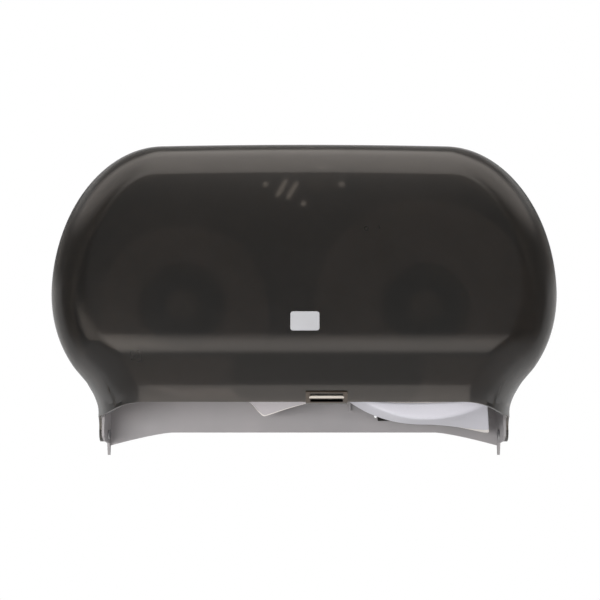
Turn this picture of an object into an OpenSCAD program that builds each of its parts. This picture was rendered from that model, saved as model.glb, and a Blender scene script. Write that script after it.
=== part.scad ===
// Twin jumbo toilet roll dispenser.
// Millimetres. The wall is the plane Y = 0 and the front faces -Y.
// X = 0 is the middle. Z = 0 is a little above the two roll axes (see roll_z).
// "Depth" is distance out of the wall.

/* [Cover] */
// Width of the cover at the wall
cover_w = 498; // [494:1:504]
// Depth of the cover from the wall to its flat front
cover_d = 138; // [136:1:144]
// Height of the crown of the cover
crown_z = 161.8; // [161:0.1:163]
// How much the top edge falls from the middle to where the ends begin
crown_drop = 1.6; // [1:0.1:2.5]
// Half-width over which the top edge is nearly straight
crown_x = 138.5; // [134:0.5:140]
// Height of the widest place of the round ends
belly_z = 12; // [8:1:16]
// Vertical half-axis of the lower quarter of each round end
lower_b = 123.6; // [121:0.1:127]
// Angle on the round end at which the waist begins
waist_angle = -41.8; // [-44:0.1:-40]
// Half-width over the outside of the hinge arms
arm_x = 209.4; // [208:0.1:210]
// Lowest point of the hinge arms
arm_end_z = -132; // [-136:1:-130]
// Height of the front lip
lip_z = -98.5; // [-100:0.5:-96]
// Wall thickness
wall = 2.6; // [2.4:0.1:2.8]
// Inset of the side wall at the start of the front rounding (draft)
draft = 3; // [2:0.5:4]
// Depth at which the front rounding starts
round_from = 84; // [80:1:88]
// Width of the front rounding along the top, measured across the front
top_round_w = 43; // [40:1:46]
// Width of the front rounding at the sides
side_round_w = 46; // [43:1:48]
// Width of the rounding at the lower corners, where it starts almost at the wall
corner_round_w = 62; // [58:1:64]

/* [Front profile] */
// Height at which the flat front starts to bend back
bend_z = -36; // [-38:1:-35]
// Height at which the bend ends and the sloping skirt begins
skirt_z = -57; // [-60:1:-54]
// Height at which the skirt curls in to the lip
curl_z = -84; // [-86:1:-82]
// Slope of the skirt from the vertical
skirt_angle = 14; // [10:1:16]
// Slope at the very lip
lip_angle = 50; // [45:1:55]

/* [Back plate] */
// Gap between the cover's inside and the plate's rim
rim_gap = 3.1; // [2.8:0.1:3.3]
// Plate thickness
plate_t = 3; // [2.5:0.1:4]
// Rim thickness
rim_t = 2.5; // [2:0.1:3]
// Rim depth
rim_d = 14; // [12:1:15]
// Height of the bottom edge along its straight middle
plate_bottom_z = -122.4; // [-123:0.1:-119]
// Fall of the bottom edge towards the lower corners
corner_drop = 14; // [10:0.5:16]
// Half-width over which the bottom edge is straight
bottom_flat_x = 138; // [130:1:145]
// Depth of the side ears that carry the hinge
ear_d = 37; // [34:1:38]
// Lowest point of the pointed corner fins
fin_tip_z = -145.5; // [-147:0.5:-143]

/* [Rolls] */
// Distance of each roll axis from the middle
roll_x = 117; // [116:0.5:118]
// Height of the roll axes
roll_z = -5; // [-6:0.5:-4]
// Radius of the fuller roll, a little below that of an unused 9 inch one
full_roll_r = 107; // [104:0.5:107.5]
// Radius of the part-used roll
used_roll_r = 81; // [60:1:81]
// Width of the paper
paper_w = 83; // [81:1:84]
// Depth of the paper's back edge
paper_back = 17; // [17:0.5:18]
// Radius of the hole in the paper, outside the core
core_out_r = 42.6; // [42:0.1:43]
// Thickness of the cardboard core
core_t = 1.6; // [1.2:0.1:2]

/* [Hinge] */
// Depth of the hinge axis
hinge_d = 14; // [14:0.5:15]
// Height of the hinge axis
hinge_z = -125; // [-126:0.5:-124]
// Radius of the hinge pins
hinge_pin_r = 3; // [2.5:0.1:3.5]

/* [Shutter] */
// Middle of the shutter at rest
shutter_x = 20.5; // [-74:0.5:74]
// Half-width of the shutter panel
shutter_half_w = 88; // [80:1:90]
// Width of the finger clip
clip_w = 38.4; // [34:0.1:42]

/* [Lock] */
// Sideways place of the lock
lock_x = 20; // [19:0.5:21]
// Depth of the key barrel's axis
lock_d = 21; // [21:0.5:22]
// Throw of the eccentric pin under the barrel
throw_r = 4; // [3.5:0.1:4.2]

/* [Hidden] */

$fn = 64;
hair = 0.01;
plate_grey = [0.62, 0.60, 0.60];
smoke = [0.22, 0.21, 0.20];
bronze = [0.33, 0.27, 0.22];
hub_grey = [0.75, 0.75, 0.74];
paper_white = [0.93, 0.93, 0.94];
card_brown = [0.72, 0.60, 0.45];
steel = [0.70, 0.70, 0.72];

// ---- outline of the cover, as half a curve from the arm's end to the crown ----

end_a = cover_w / 2 - crown_x;
end_top_z = crown_z - crown_drop;
upper_b = end_top_z - belly_z;
waist_pt = [crown_x + end_a * cos(waist_angle), belly_z + lower_b * sin(waist_angle)];
waist_n = unit([cos(waist_angle) / end_a, sin(waist_angle) / lower_b]);
waist_turn = acos(waist_n[0]);
waist_r = (waist_pt[0] - arm_x) / (1 - cos(waist_turn));
arm_top_z = waist_pt[1] - waist_r * sin(waist_turn);

// Steps of the arm, the waist, the lower end, the upper end and the crown
STEPS = [2, 5, 9, 12, 4];
HALF = STEPS[0] + STEPS[1] + STEPS[2] + STEPS[3] + STEPS[4];

SPAN = 2 * HALF;

function unit(v) = v / norm(v);
function mix(a, b, q) = a + (b - a) * q;
function first_of(k) = k == 0 ? 0 : first_of(k - 1) + STEPS[k - 1];

// Each returns [x, z, nx, nz]: a point of the outline and its outward normal.
function arm_pt(t, low_z) = [arm_x, mix(low_z, arm_top_z, t), 1, 0];
function waist_arc_pt(a) = [arm_x + waist_r * (1 - cos(a)), arm_top_z + waist_r * sin(a), cos(a), -sin(a)];
// Angle on the waist's arc whose point comes to the height low_z once it is set in by s
function waist_start(low_z, s) = asin((low_z - arm_top_z) / (waist_r + s));
function end_pt(a, b) = let (n = unit([cos(a) / end_a, sin(a) / b]))
    [crown_x + end_a * cos(a), belly_z + b * sin(a), n[0], n[1]];
function crown_pt(t) = let (x = crown_x * (1 - t), n = unit([2 * crown_drop * x / crown_x / crown_x, 1]))
    [x, crown_z - crown_drop * (x / crown_x) * (x / crown_x), n[0], n[1]];

// The half curve's point i where the curve ends at low_z after it is set in by s.
function half_pt(i, low_z, s) =
    low_z > arm_top_z && i < first_of(2)
        ? waist_arc_pt(mix(waist_start(low_z, s), waist_turn, i / first_of(2))) :
    i < first_of(1) ? arm_pt(i / STEPS[0], low_z) :
    i < first_of(2) ? waist_arc_pt(waist_turn * (i - first_of(1)) / STEPS[1]) :
    i < first_of(3) ? end_pt(waist_angle * (1 - (i - first_of(2)) / STEPS[2]), lower_b) :
    i < first_of(4) ? end_pt(90 * (i - first_of(3)) / STEPS[3], upper_b) :
    crown_pt((i - first_of(4)) / STEPS[4]);

// The same curve set inwards, from the right arm over the crown to the left arm.
function inset_half(i, low_z, s) = let (p = half_pt(i, low_z, s)) [p[0] - s * p[2], p[1] - s * p[3]];
function inset_pt(u, low_z, s) = u <= HALF
    ? inset_half(u, low_z, s)
    : let (p = inset_half(2 * HALF - u, low_z, s)) [-p[0], p[1]];

// ---- the cover's front seen from the side ----

bend_r = (bend_z - skirt_z) / sin(skirt_angle);
bend_drop = bend_r * (1 - cos(skirt_angle));
skirt_drop = (skirt_z - curl_z) * tan(skirt_angle);
curl_r = (curl_z - lip_z) / (sin(lip_angle) - sin(skirt_angle));

function bend_in(z) = bend_r - sqrt(bend_r * bend_r - (bend_z - z) * (bend_z - z));
function curl_in(z) = let (q = curl_r * sin(skirt_angle) + curl_z - z)
    curl_r * cos(skirt_angle) - sqrt(curl_r * curl_r - q * q);
function front_at(z) =
    z > bend_z ? cover_d :
    z > skirt_z ? cover_d - bend_in(z) :
    z > curl_z ? cover_d - bend_drop - (skirt_z - z) * tan(skirt_angle) :
    cover_d - bend_drop - skirt_drop - curl_in(max(z, lip_z));

// ---- the cover as a shell of rings, each ring at one depth ----

// Depth range of the hinge arm and of the fillet in front of it
arm_mid_d = 14;
arm_half_d = 13;
fillet_end_d = 45;
side_edge_z = -108.4;
// Depth beyond which the lower edge rises round the corner to the lip
edge_rise_d = 90;
SIDE_D = [1, 3, 7, 14, 21, 25, 27, 28.5, 32, 38, fillet_end_d, 68, round_from];
ROUND_STEPS = 9;
RINGS = len(SIDE_D) + ROUND_STEPS;

// Height of the cover's lower edge at a depth
function lower_edge(d) =
    d <= arm_mid_d + arm_half_d
        ? arm_end_z + arm_half_d * (1 - sqrt(max(0, 1 - pow((d - arm_mid_d) / arm_half_d, 2)))) :
    d <= fillet_end_d
        ? side_edge_z - (side_edge_z - arm_end_z - arm_half_d)
          * (1 - sqrt(1 - pow((fillet_end_d - d) / (fillet_end_d - arm_mid_d - arm_half_d), 2))) :
    side_edge_z + (lip_z - side_edge_z) * pow(max(0, (d - edge_rise_d) / (cover_d - edge_rise_d)), 1.5);

// The lower corners are rounded from almost the wall on; above them the rounding
// starts at round_from. The share is 0 at the corner's low height and 1 from its high one.
corner_from = 1;
corner_low_z = -106;
corner_high_z = -64;
function corner_share(z) = let (q = min(1, max(0, (z - corner_low_z) / (corner_high_z - corner_low_z))))
    q * q * (3 - 2 * q);
function width_at(z, nz) =
    mix(corner_round_w, mix(side_round_w, top_round_w, pow(max(0, nz), 2)), corner_share(z));

// Inset of the skin at depth d for outline point p; t is the wall thickness left outside it
function inset_at(p, d, t) =
    let (share = corner_share(p[1]),
         from = mix(corner_from, round_from, share),
         turn = min(1, max(0, (d - from) / (cover_d - t - from))))
    t + draft * share * min(1, d / from) + (width_at(p[1], p[3]) - t) * (1 - sqrt(1 - turn * turn));

// Depth of ring k, measured before the front's slope is taken off
function ring_depth(k, t) = k < len(SIDE_D)
    ? SIDE_D[k]
    : round_from + (cover_d - t - round_from) * sin(90 * (k - len(SIDE_D) + 1) / ROUND_STEPS);

// The skirt's slope reaches the front rings fully and the hinge arms not at all
skirt_from = 30;
function slope_share(d) = min(1, max(0, (d - skirt_from) / (round_from - skirt_from)));
function ring_pt(k, u, t) =
    let (i = u <= HALF ? u : SPAN - u,
         d = ring_depth(k, t),
         low_z = lower_edge(ring_depth(k, 0)),
         p = half_pt(i, low_z, inset_at([arm_x, low_z, 1, 0], d, t)),
         s = inset_at(p, d, t),
         z = p[1] - s * p[3],
         ratio = 1 - (1 - front_at(z) / cover_d) * slope_share(d))
    [(u <= HALF ? 1 : -1) * (p[0] - s * p[2]), -d * ratio, z];

COUNT = RINGS * (SPAN + 1);
function at(k, u, side) = side * COUNT + k * (SPAN + 1) + u;

module shell() {
    last = RINGS - 1;
    outer = [for (k = [0 : last], u = [0 : SPAN]) ring_pt(k, u, 0)];
    inner = [for (k = [0 : last], u = [0 : SPAN]) ring_pt(k, u, wall)];
    skin = [for (k = [0 : last - 1], u = [0 : SPAN - 1])
        each [[at(k, u, 0), at(k + 1, u, 0), at(k + 1, u + 1, 0)],
              [at(k, u, 0), at(k + 1, u + 1, 0), at(k, u + 1, 0)],
              [at(k, u, 1), at(k + 1, u + 1, 1), at(k + 1, u, 1)],
              [at(k, u, 1), at(k, u + 1, 1), at(k + 1, u + 1, 1)]]];
    back_edge = [for (u = [0 : SPAN - 1])
        [at(0, u, 0), at(0, u + 1, 0), at(0, u + 1, 1), at(0, u, 1)]];
    low_edges = [for (k = [0 : last - 1])
        each [[at(k + 1, 0, 0), at(k, 0, 0), at(k, 0, 1)],
              [at(k + 1, 0, 0), at(k, 0, 1), at(k + 1, 0, 1)],
              [at(k, SPAN, 0), at(k + 1, SPAN, 0), at(k + 1, SPAN, 1)],
              [at(k, SPAN, 0), at(k + 1, SPAN, 1), at(k, SPAN, 1)]]];
    front = [for (i = [0 : HALF - 2])
        each [[at(last, i, 0), at(last, SPAN - i, 0), at(last, SPAN - i - 1, 0), at(last, i + 1, 0)],
              [at(last, i + 1, 1), at(last, SPAN - i - 1, 1), at(last, SPAN - i, 1), at(last, i, 1)]]];
    crown_tip = [[at(last, HALF - 1, 0), at(last, HALF + 1, 0), at(last, HALF, 0)],
                 [at(last, HALF, 1), at(last, HALF + 1, 1), at(last, HALF - 1, 1)]];
    lip = [[at(last, SPAN, 0), at(last, 0, 0), at(last, 0, 1), at(last, SPAN, 1)]];
    polyhedron(concat(outer, inner), concat(skin, back_edge, low_edges, front, crown_tip, lip),
               convexity = 8);
}

// ---- helpers ----

// Puts a child at a place on the wall, standing out of it from depth d
module from_wall(x, z, d = 0) translate([x, -d, z]) rotate([90, 0, 0]) children();
// Turns a child so that its own Z points along X
module along_x() rotate([0, 90, 0]) children();
module on_circle(count, r, start = 0) {
    for (i = [0 : count - 1]) rotate(start + i * 360 / count) translate([r, 0, 0]) children();
}
// A box given by its lowest X, depth range and Z range
module block(x0, x1, d0, d1, z0, z1) translate([x0, -d1, z0]) cube([x1 - x0, d1 - d0, z1 - z0]);
module rounded_bar(w, h, r, t) linear_extrude(t) hull() {
    for (sx = [-1, 1], sz = [-1, 1])
        translate([sx * (w / 2 - r), sz * (h / 2 - r)]) circle(r, $fn = 32);
}
// A pan-head screw whose head stands on Z = 0 and whose shank goes down
module screw(head_r, head_h, shank_r, length) {
    head_edge = head_h * 0.45;
    recess_len = head_r * 1.1;
    recess_w = 1;
    translate([0, 0, -length]) cylinder(r = shank_r, h = length + hair);
    difference() {
        rotate_extrude()
            polygon([[0, 0], [head_r, 0], [head_r, head_edge], [head_r * 0.7, head_h], [0, head_h]]);
        for (a = [0, 90]) rotate(a)
            translate([-recess_len / 2, -recess_w / 2, head_edge]) cube([recess_len, recess_w, head_h]);
    }
}

// ---- back plate ----

rim_out = wall + rim_gap;
ear_x = arm_x - rim_out;
rim_low_z = -90;
pad_r = 29;
pad_d = 8;
foot_screw_r = 20;
upper_hole = [41.4, 146.5];
middle_hole = [0, 124.5];
lower_hole = [60, -78];
hole_r = 3.2;
// Small drain hole low on the right, and the stop pad beside it
drain_at = [75, -105.8];
drain_r = 1.5;
slot_tilt = 29;
slot_len = 23;
slot_w = 5;
slot_at = [[-24, 142], [-12.4, 139.6]];

function bottom_z(x) = plate_bottom_z - corner_drop
    * pow(max(0, (abs(x) - bottom_flat_x) / (ear_x - bottom_flat_x)), 1.3);
BOTTOM_STEPS = 8;
function corner_xs(side) = [for (i = [0 : BOTTOM_STEPS]) side * (bottom_flat_x
    + (ear_x - bottom_flat_x) * (side > 0 ? i : BOTTOM_STEPS - i) / BOTTOM_STEPS)];

module plate_outline() {
    polygon(concat([for (u = [0 : SPAN]) inset_pt(u, rim_low_z - 20, rim_out)],
                   [for (x = corner_xs(-1)) [x, bottom_z(x)]],
                   [for (x = corner_xs(1)) [x, bottom_z(x)]]));
}

module rim_outline() {
    polygon(concat([for (u = [0 : SPAN]) inset_pt(u, rim_low_z - 8, rim_out)],
                   [for (u = [SPAN : -1 : 0]) inset_pt(u, rim_low_z - 8, rim_out + rim_t)]));
}

// Side ear in the plane of the hinge: rear edge on the wall, fin tip below
module ear_outline() {
    low = bottom_z(ear_x);
    difference() {
        polygon([[0, rim_low_z], [0, fin_tip_z], [2, fin_tip_z], [7, low + 3], [ear_d - 8, low + 5],
                 [ear_d - 2, low + 9], [ear_d, low + 15], [ear_d, rim_low_z - 6], [rim_d, rim_low_z + 12]]);
        translate([hinge_d, hinge_z]) circle(hinge_pin_r);
    }
}

module ear(side) {
    translate([side > 0 ? ear_x - rim_t : -ear_x, 0, 0])
        rotate([90, 0, 90]) mirror([1, 0, 0]) linear_extrude(rim_t) ear_outline();
}

module spindle_pad(x) {
    from_wall(x, roll_z) {
        difference() {
            translate([0, 0, plate_t - hair]) cylinder(r = pad_r, h = pad_d - plate_t + hair);
            translate([0, 0, pad_d - 1.5]) cylinder(r = 9.3, h = 2);
        }
        for (a = [30 : 60 : 330]) rotate(a) translate([pad_r - 1, -1, plate_t - hair]) cube([26, 2, 2.5]);
    }
}

module rear_ribs() {
    for (side = [-1, 1]) block(side * 48 - 1, side * 48 + 1, plate_t - hair, 7, -100, 118);
    block(-48, 48, plate_t - hair, 7, -61, -59);
    block(-48, 48, plate_t - hair, 7, 29, 31);
    for (side = [-1, 1]) block(side * 148 - 28, side * 148 + 28, plate_t - hair, 6, 128, 130);
}

module latch_bosses() {
    for (x = latch_screw_x) from_wall(x, latch_screw_z, plate_t - hair) cylinder(r = 4, h = 4);
}

module plate_hole(at, r) from_wall(at[0], at[1], -1) cylinder(r = r, h = plate_t + 2, $fn = 32);

module slot_cut(at) {
    straight = slot_len - slot_w;
    from_wall(at[0], at[1], -1) rotate(90 - slot_tilt) {
        for (e = [-1, 1]) translate([e * straight / 2, 0, 0])
            cylinder(d = slot_w, h = plate_t + 2, $fn = 32);
        translate([-straight / 2, -slot_w / 2, 0]) cube([straight, slot_w, plate_t + 2]);
    }
}

// Gap in the rim through which the cover's strike passes
module strike_notch() {
    side_gap = 1.5;
    block(strike_x[0] - side_gap, strike_x[1] + side_gap, 5.5, rim_d + 1, 148, crown_z);
}

module back_plate() {
    color(plate_grey) difference() {
        union() {
            rotate([90, 0, 0]) linear_extrude(plate_t) plate_outline();
            rotate([90, 0, 0]) linear_extrude(rim_d) rim_outline();
            for (side = [-1, 1]) ear(side);
            for (side = [-1, 1]) spindle_pad(side * roll_x);
            rear_ribs();
            latch_bosses();
        }
        for (side = [-1, 1]) {
            from_wall(side * roll_x, roll_z, 2.5) on_circle(3, foot_screw_r, 90)
                cylinder(r = 1.9, h = 10, $fn = 32);
            plate_hole([side * upper_hole[0], upper_hole[1]], hole_r);
            plate_hole([side * lower_hole[0], lower_hole[1]], hole_r);
        }
        plate_hole(middle_hole, hole_r);
        plate_hole(drain_at, drain_r);
        for (at = slot_at) slot_cut(at);
        for (x = latch_screw_x) from_wall(x, latch_screw_z, 2) cylinder(r = 1.4, h = 6, $fn = 32);
        for (x = pad_pin_x) plate_hole([x, stop_pad_z], pad_pin_r);
        strike_notch();
    }
}

// Dark rubber pad beside the drain hole, held by two pips pushed through the plate
stop_pad_x = [77, 91.5];
stop_pad_z = -108;
stop_pad_h = 5;
stop_pad_t = 3;
pad_pin_x = [80, 88.5];
pad_pin_r = 1.4;

module stop_pad() {
    mid_x = (stop_pad_x[0] + stop_pad_x[1]) / 2;
    color("dimgray") {
        from_wall(mid_x, stop_pad_z, plate_t)
            rounded_bar(stop_pad_x[1] - stop_pad_x[0], stop_pad_h, 1, stop_pad_t);
        for (x = pad_pin_x) from_wall(x, stop_pad_z, 0.6) cylinder(r = pad_pin_r, h = plate_t, $fn = 32);
    }
}

// ---- spindles, hubs and rolls ----

foot_r = 26;
foot_front = 12;
post_r = 9;
post_end = 105;
hub_back = 15;
hub_front = 104;
bush_r = 11.6;
bush_len = 18;
drum_r = 40.8;

module spindle(x) {
    color(hub_grey) from_wall(x, roll_z, pad_d) difference() {
        rotate_extrude() polygon([[0, 0], [foot_r, 0], [foot_r, 3], [foot_r - 1, foot_front - pad_d],
                                  [13, foot_front - pad_d], [post_r, foot_front - pad_d + 3],
                                  [post_r, post_end - pad_d - 1.5], [post_r - 1.5, post_end - pad_d],
                                  [0, post_end - pad_d]]);
        on_circle(3, foot_screw_r, 90) translate([0, 0, -1]) cylinder(r = 2.3, h = 8, $fn = 32);
        translate([0, 0, post_end - pad_d - 14]) cylinder(r = 1.6, h = 20, $fn = 32);
        translate([0, 0, -1]) cylinder(r = 5.5, h = 70, $fn = 32);
    }
}

module spindle_screws() {
    color(steel) for (side = [-1, 1]) from_wall(side * roll_x, roll_z, foot_front)
        on_circle(3, foot_screw_r, 90) screw(3.8, 2.4, 1.9, 8);
}

module retainer(x) {
    color(hub_grey) from_wall(x, roll_z, post_end) difference() {
        rotate_extrude() polygon([[1.8, 0], [15, 0], [15, 1.5], [13, 3], [1.8, 3]]);
        on_circle(3, 9, 30) translate([0, 0, 2.2]) cylinder(r = 1.6, h = 2, $fn = 24);
    }
}

module retainer_screws() {
    color(steel) for (side = [-1, 1])
        from_wall(side * roll_x, roll_z, post_end + 3) screw(3.4, 2.2, 1.55, 12);
}

// Drum with a lip round its front, cut down between four spring fingers, so that
// the lips snap in front of the core's end
finger_angle = 24;
finger_root = 74;
drum_t = 2;
module hub(x) {
    spoke_h = 40;
    web_t = 2.5;
    lip_from = paper_w + 2.4;
    color(hub_grey) from_wall(x, roll_z, hub_back) difference() {
        union() {
            rotate_extrude()
                polygon([[bush_r, 0], [54, 0], [54, 1.6], [drum_r, 2], [drum_r, lip_from],
                         [drum_r + 1.5, lip_from + 0.5], [drum_r + 1.5, lip_from + 1.2],
                         [drum_r - 0.5, lip_from + 2.2], [drum_r - drum_t, lip_from + 2.2],
                         [drum_r - drum_t, web_t], [14, web_t], [14, hub_front - hub_back],
                         [bush_r, hub_front - hub_back]]);
            for (a = [0 : 60 : 300]) rotate(a) translate([13, -0.9, 1]) cube([drum_r - 14, 1.8, spoke_h]);
        }
        for (i = [0 : 3]) rotate(45 + 90 * i + finger_angle / 2)
            rotate_extrude(angle = 90 - finger_angle) translate([drum_r - 4, finger_root]) square([8, 30]);
        on_circle(6, 27, 30) translate([0, 0, -1]) cylinder(r = 7, h = 5, $fn = 32);
    }
}

module bush(x) {
    color("ivory") for (d = [hub_back, hub_front - bush_len]) from_wall(x, roll_z, d) difference() {
        cylinder(r = bush_r, h = bush_len);
        translate([0, 0, -1]) cylinder(r = post_r + 0.07, h = bush_len + 2);
    }
}

module tube(outer_r, inner_r, length) difference() {
    cylinder(r = outer_r, h = length, $fn = 96);
    translate([0, 0, -1]) cylinder(r = inner_r, h = length + 2, $fn = 96);
}
module core(x) color(card_brown)
    from_wall(x, roll_z, paper_back) tube(core_out_r, core_out_r - core_t, paper_w);
module paper_roll(x, r) color(paper_white)
    from_wall(x, roll_z, paper_back) tube(r, core_out_r, paper_w);

// ---- loose paper ends: sheets ruled between the edges listed in each tail ----

sheet_t = [0, -0.4, -0.7];
// Edges as [x, depth, z], each from the roll to the torn end. The right roll's outer layer
// has slipped and hangs under the roll, then bends up in front of the roll's face.
RIGHT_TAIL = [
    [[20.5, 20, -55], [31, 20, -73], [42.1, 20, -87.8], [56.4, 20, -97.8], [68.7, 20, -104.2],
     [85, 20, -110], [101.4, 20, -113.4], [117.8, 20, -114.8], [132.1, 20, -115.2],
     [146.5, 20, -116.6], [160.8, 20, -118.9], [175, 20, -121.9], [189.8, 20, -125]],
    [[20.5, 101, -55], [33, 101, -76], [49.6, 101, -92.5], [61, 101, -99.8], [71.5, 101, -104.6],
     [83.6, 101, -109.2], [95.8, 101, -112.2], [108, 101, -113.6], [120.2, 101, -113.8],
     [133.3, 101, -112.6], [146.6, 101, -109.8], [159.9, 101, -105.2], [173, 101, -99.2]],
    [[20.5, 102, -55], [33, 102, -76], [49.9, 102, -92.7], [61.1, 102, -99.9], [71.5, 102, -104.6],
     [83.6, 102, -109.1], [95.8, 102.2, -112], [108, 102.8, -112.8], [120.2, 103.8, -111.2],
     [133.3, 105, -106.3], [146.6, 105.6, -100.4], [159.9, 105.6, -95.7], [172, 104.5, -92.7]]];
LEFT_TAIL = [
    [[-118, 20, -86.5], [-101, 20, -86.4], [-84, 20, -86.5], [-68, 20, -87.6],
     [-55.4, 20, -93], [-42.6, 20, -107.8]],
    [[-118, 104, -86.5], [-94, 104, -84.4], [-69, 104, -84.8], [-43, 104, -87.6],
     [-17, 104, -91.8], [11, 104, -96.6]]];

module paper_tail(edges) {
    n = len(edges[0]);
    row = len(edges);
    function sheet_pt(i, j) = [edges[j][i][0], -edges[j][i][1], edges[j][i][2]];
    function id(i, j, side) = side * n * row + i * row + j;
    top = [for (i = [0 : n - 1], j = [0 : row - 1]) sheet_pt(i, j)];
    low = [for (p = top) p + sheet_t];
    faces = [for (i = [0 : n - 2], j = [0 : row - 2])
        each [[id(i, j, 0), id(i + 1, j + 1, 0), id(i + 1, j, 0)],
              [id(i, j, 0), id(i, j + 1, 0), id(i + 1, j + 1, 0)],
              [id(i, j, 1), id(i + 1, j, 1), id(i + 1, j + 1, 1)],
              [id(i, j, 1), id(i + 1, j + 1, 1), id(i, j + 1, 1)]]];
    long_sides = [for (i = [0 : n - 2])
        each [[id(i, 0, 0), id(i + 1, 0, 0), id(i + 1, 0, 1), id(i, 0, 1)],
              [id(i, row - 1, 1), id(i + 1, row - 1, 1), id(i + 1, row - 1, 0), id(i, row - 1, 0)]]];
    short_sides = [for (j = [0 : row - 2])
        each [[id(0, j, 1), id(0, j + 1, 1), id(0, j + 1, 0), id(0, j, 0)],
              [id(n - 1, j, 0), id(n - 1, j + 1, 0), id(n - 1, j + 1, 1), id(n - 1, j, 1)]]];
    color(paper_white) polyhedron(concat(top, low), concat(faces, long_sides, short_sides));
}

// ---- hinge ----

module hinge_pin(side) {
    color(steel) translate([side * (ear_x - rim_t), -hinge_d, hinge_z]) rotate([0, side * 90, 0]) {
        cylinder(r = hinge_pin_r, h = rim_out + rim_t - 0.3, $fn = 48);
        translate([0, 0, -1.6]) cylinder(r = 4.6, h = 1.6, $fn = 48);
    }
}

bush_seat_r = 5;
module hinge_bush(side) {
    color("dimgray") translate([side * (ear_x + 0.5), -hinge_d, hinge_z]) rotate([0, side * 90, 0])
      difference() {
        union() {
            cylinder(r = 7, h = 1.7, $fn = 48);
            cylinder(r = bush_seat_r, h = rim_out - 1, $fn = 48);
        }
        translate([0, 0, -1]) cylinder(r = hinge_pin_r + 0.07, h = 12, $fn = 48);
    }
}

// ---- cover ----

key_hole_r = 7.5;
module front_cover() {
    color(smoke, 0.85) difference() {
        shell();
        for (side = [-1, 1]) translate([side * (arm_x - 8), -hinge_d, hinge_z])
            rotate([0, side * 90, 0]) cylinder(r = bush_seat_r, h = 16, $fn = 48);
        translate([lock_x, -lock_d, crown_z - 12]) cylinder(r = key_hole_r, h = 20, $fn = 48);
    }
}

badge_w = 26.8;
badge_h = 17.8;
badge_z = -25.6;
module badge_plate() color("silver")
    from_wall(0.5, badge_z, cover_d) rounded_bar(badge_w, badge_h, 2.5, 0.7);

// ---- lock ----

housing_x = [4, 36];
housing_d = 32;
housing_z = [131, 153];
bolt_d = [12, 28];
bolt_z = [133.6, 137.6];
bolt_tip = 45;
latch_screw_x = [9, 31];
latch_screw_z = 148.8;
barrel_r = 5.9;
barrel_top = 157.6;
barrel_low = 141;
pin_r = 1.5;
pin_off = [-throw_r * cos(45), throw_r * cos(45)];
run_gap = 0.3;

module latch_housing() {
    color("gainsboro") difference() {
        block(housing_x[0], housing_x[1], plate_t + 4, housing_d, housing_z[0], housing_z[1]);
        block(housing_x[0] + 2, housing_x[1] + 1, bolt_d[0] - run_gap, bolt_d[1] + run_gap,
              bolt_z[0] - run_gap, bolt_z[1] + run_gap);
        translate([lock_x, -lock_d, barrel_low - 3.4]) cylinder(r = 8.2, h = 5.7);
        translate([lock_x, -lock_d, barrel_low]) cylinder(r = barrel_r + 0.08, h = 20);
        for (x = latch_screw_x) from_wall(x, latch_screw_z, 0) cylinder(r = 1.8, h = 40, $fn = 32);
        for (x = latch_screw_x) from_wall(x, latch_screw_z, 12) cylinder(r = 3.4, h = 40, $fn = 32);
    }
}

module latch_screws() {
    color(steel) for (x = latch_screw_x) from_wall(x, latch_screw_z, 12) screw(2.9, 1.8, 1.35, 9);
}

module key_barrel() {
    color(steel) difference() {
        union() {
            translate([lock_x, -lock_d, barrel_low - 2.5]) cylinder(r = 7.6, h = 4);
            translate([lock_x, -lock_d, barrel_low]) cylinder(r = barrel_r, h = barrel_top - barrel_low);
            translate([lock_x + pin_off[0], -lock_d - pin_off[1], bolt_z[0] + 0.4])
                cylinder(r = pin_r, h = barrel_low - bolt_z[0] - 2, $fn = 32);
        }
        translate([lock_x - 1, -lock_d - 4, barrel_top - 3]) cube([2, 8, 4]);
        translate([lock_x, -lock_d, barrel_top - 3]) cylinder(r = 1.8, h = 4, $fn = 32);
    }
}

module latch_bolt() {
    slot_half = pin_r + 0.25;
    pin_x = lock_x + pin_off[0];
    pin_d = lock_d + pin_off[1];
    nose_x = bolt_tip - 8;
    color(steel) difference() {
        union() {
            block(housing_x[0] + 4, nose_x, bolt_d[0], bolt_d[1], bolt_z[0], bolt_z[1]);
            translate([0, -bolt_d[0], bolt_z[0]]) linear_extrude(bolt_z[1] - bolt_z[0])
                polygon([[nose_x - hair, 0], [bolt_tip, 0], [bolt_tip, -2],
                         [bolt_tip - 5, -9], [nose_x - hair, -9]]);
        }
        block(pin_x - slot_half, pin_x + slot_half, pin_d - 2.2, pin_d + 3.2,
              bolt_z[0] - 1, bolt_z[1] + 1);
    }
}

// The leg stands behind the thrown bolt; the head is bonded into the cover's top wall
strike_x = [46.2, 56];
strike_leg_d = [7.5, 10.5];
strike_head_d = 24;
strike_low = 132;
strike_top = 159.4;
strike_head_h = 4;
module strike_tab() {
    reach = strike_head_d - strike_leg_d[1];
    color(smoke) {
        block(strike_x[0], strike_x[1], strike_leg_d[0], strike_leg_d[1], strike_low, strike_top);
        block(strike_x[0], strike_x[1], strike_leg_d[1] - hair, strike_head_d,
              strike_top - strike_head_h, strike_top);
        for (x = [strike_x[0] + 1, strike_x[1] - 3])
            translate([x, -strike_head_d, strike_top - strike_head_h + 0.1]) rotate([0, 90, 0])
                linear_extrude(2) polygon([[0, 0], [12, reach + 0.1], [0, reach + 0.1]]);
    }
}

// ---- shutter, its track and its finger clip ----

track_half = 178;
track_z = -51;
panel_d = [110, 112];
bead = 4;
track_gap = 0.4;
post_xs = [-150, 0, 150];

panel_mid_d = (panel_d[0] + panel_d[1]) / 2;
panel_low_z = -96;
panel_corner = 9;
rail = 8;
post_half = 5;
glue_gap = 0.2;

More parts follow.
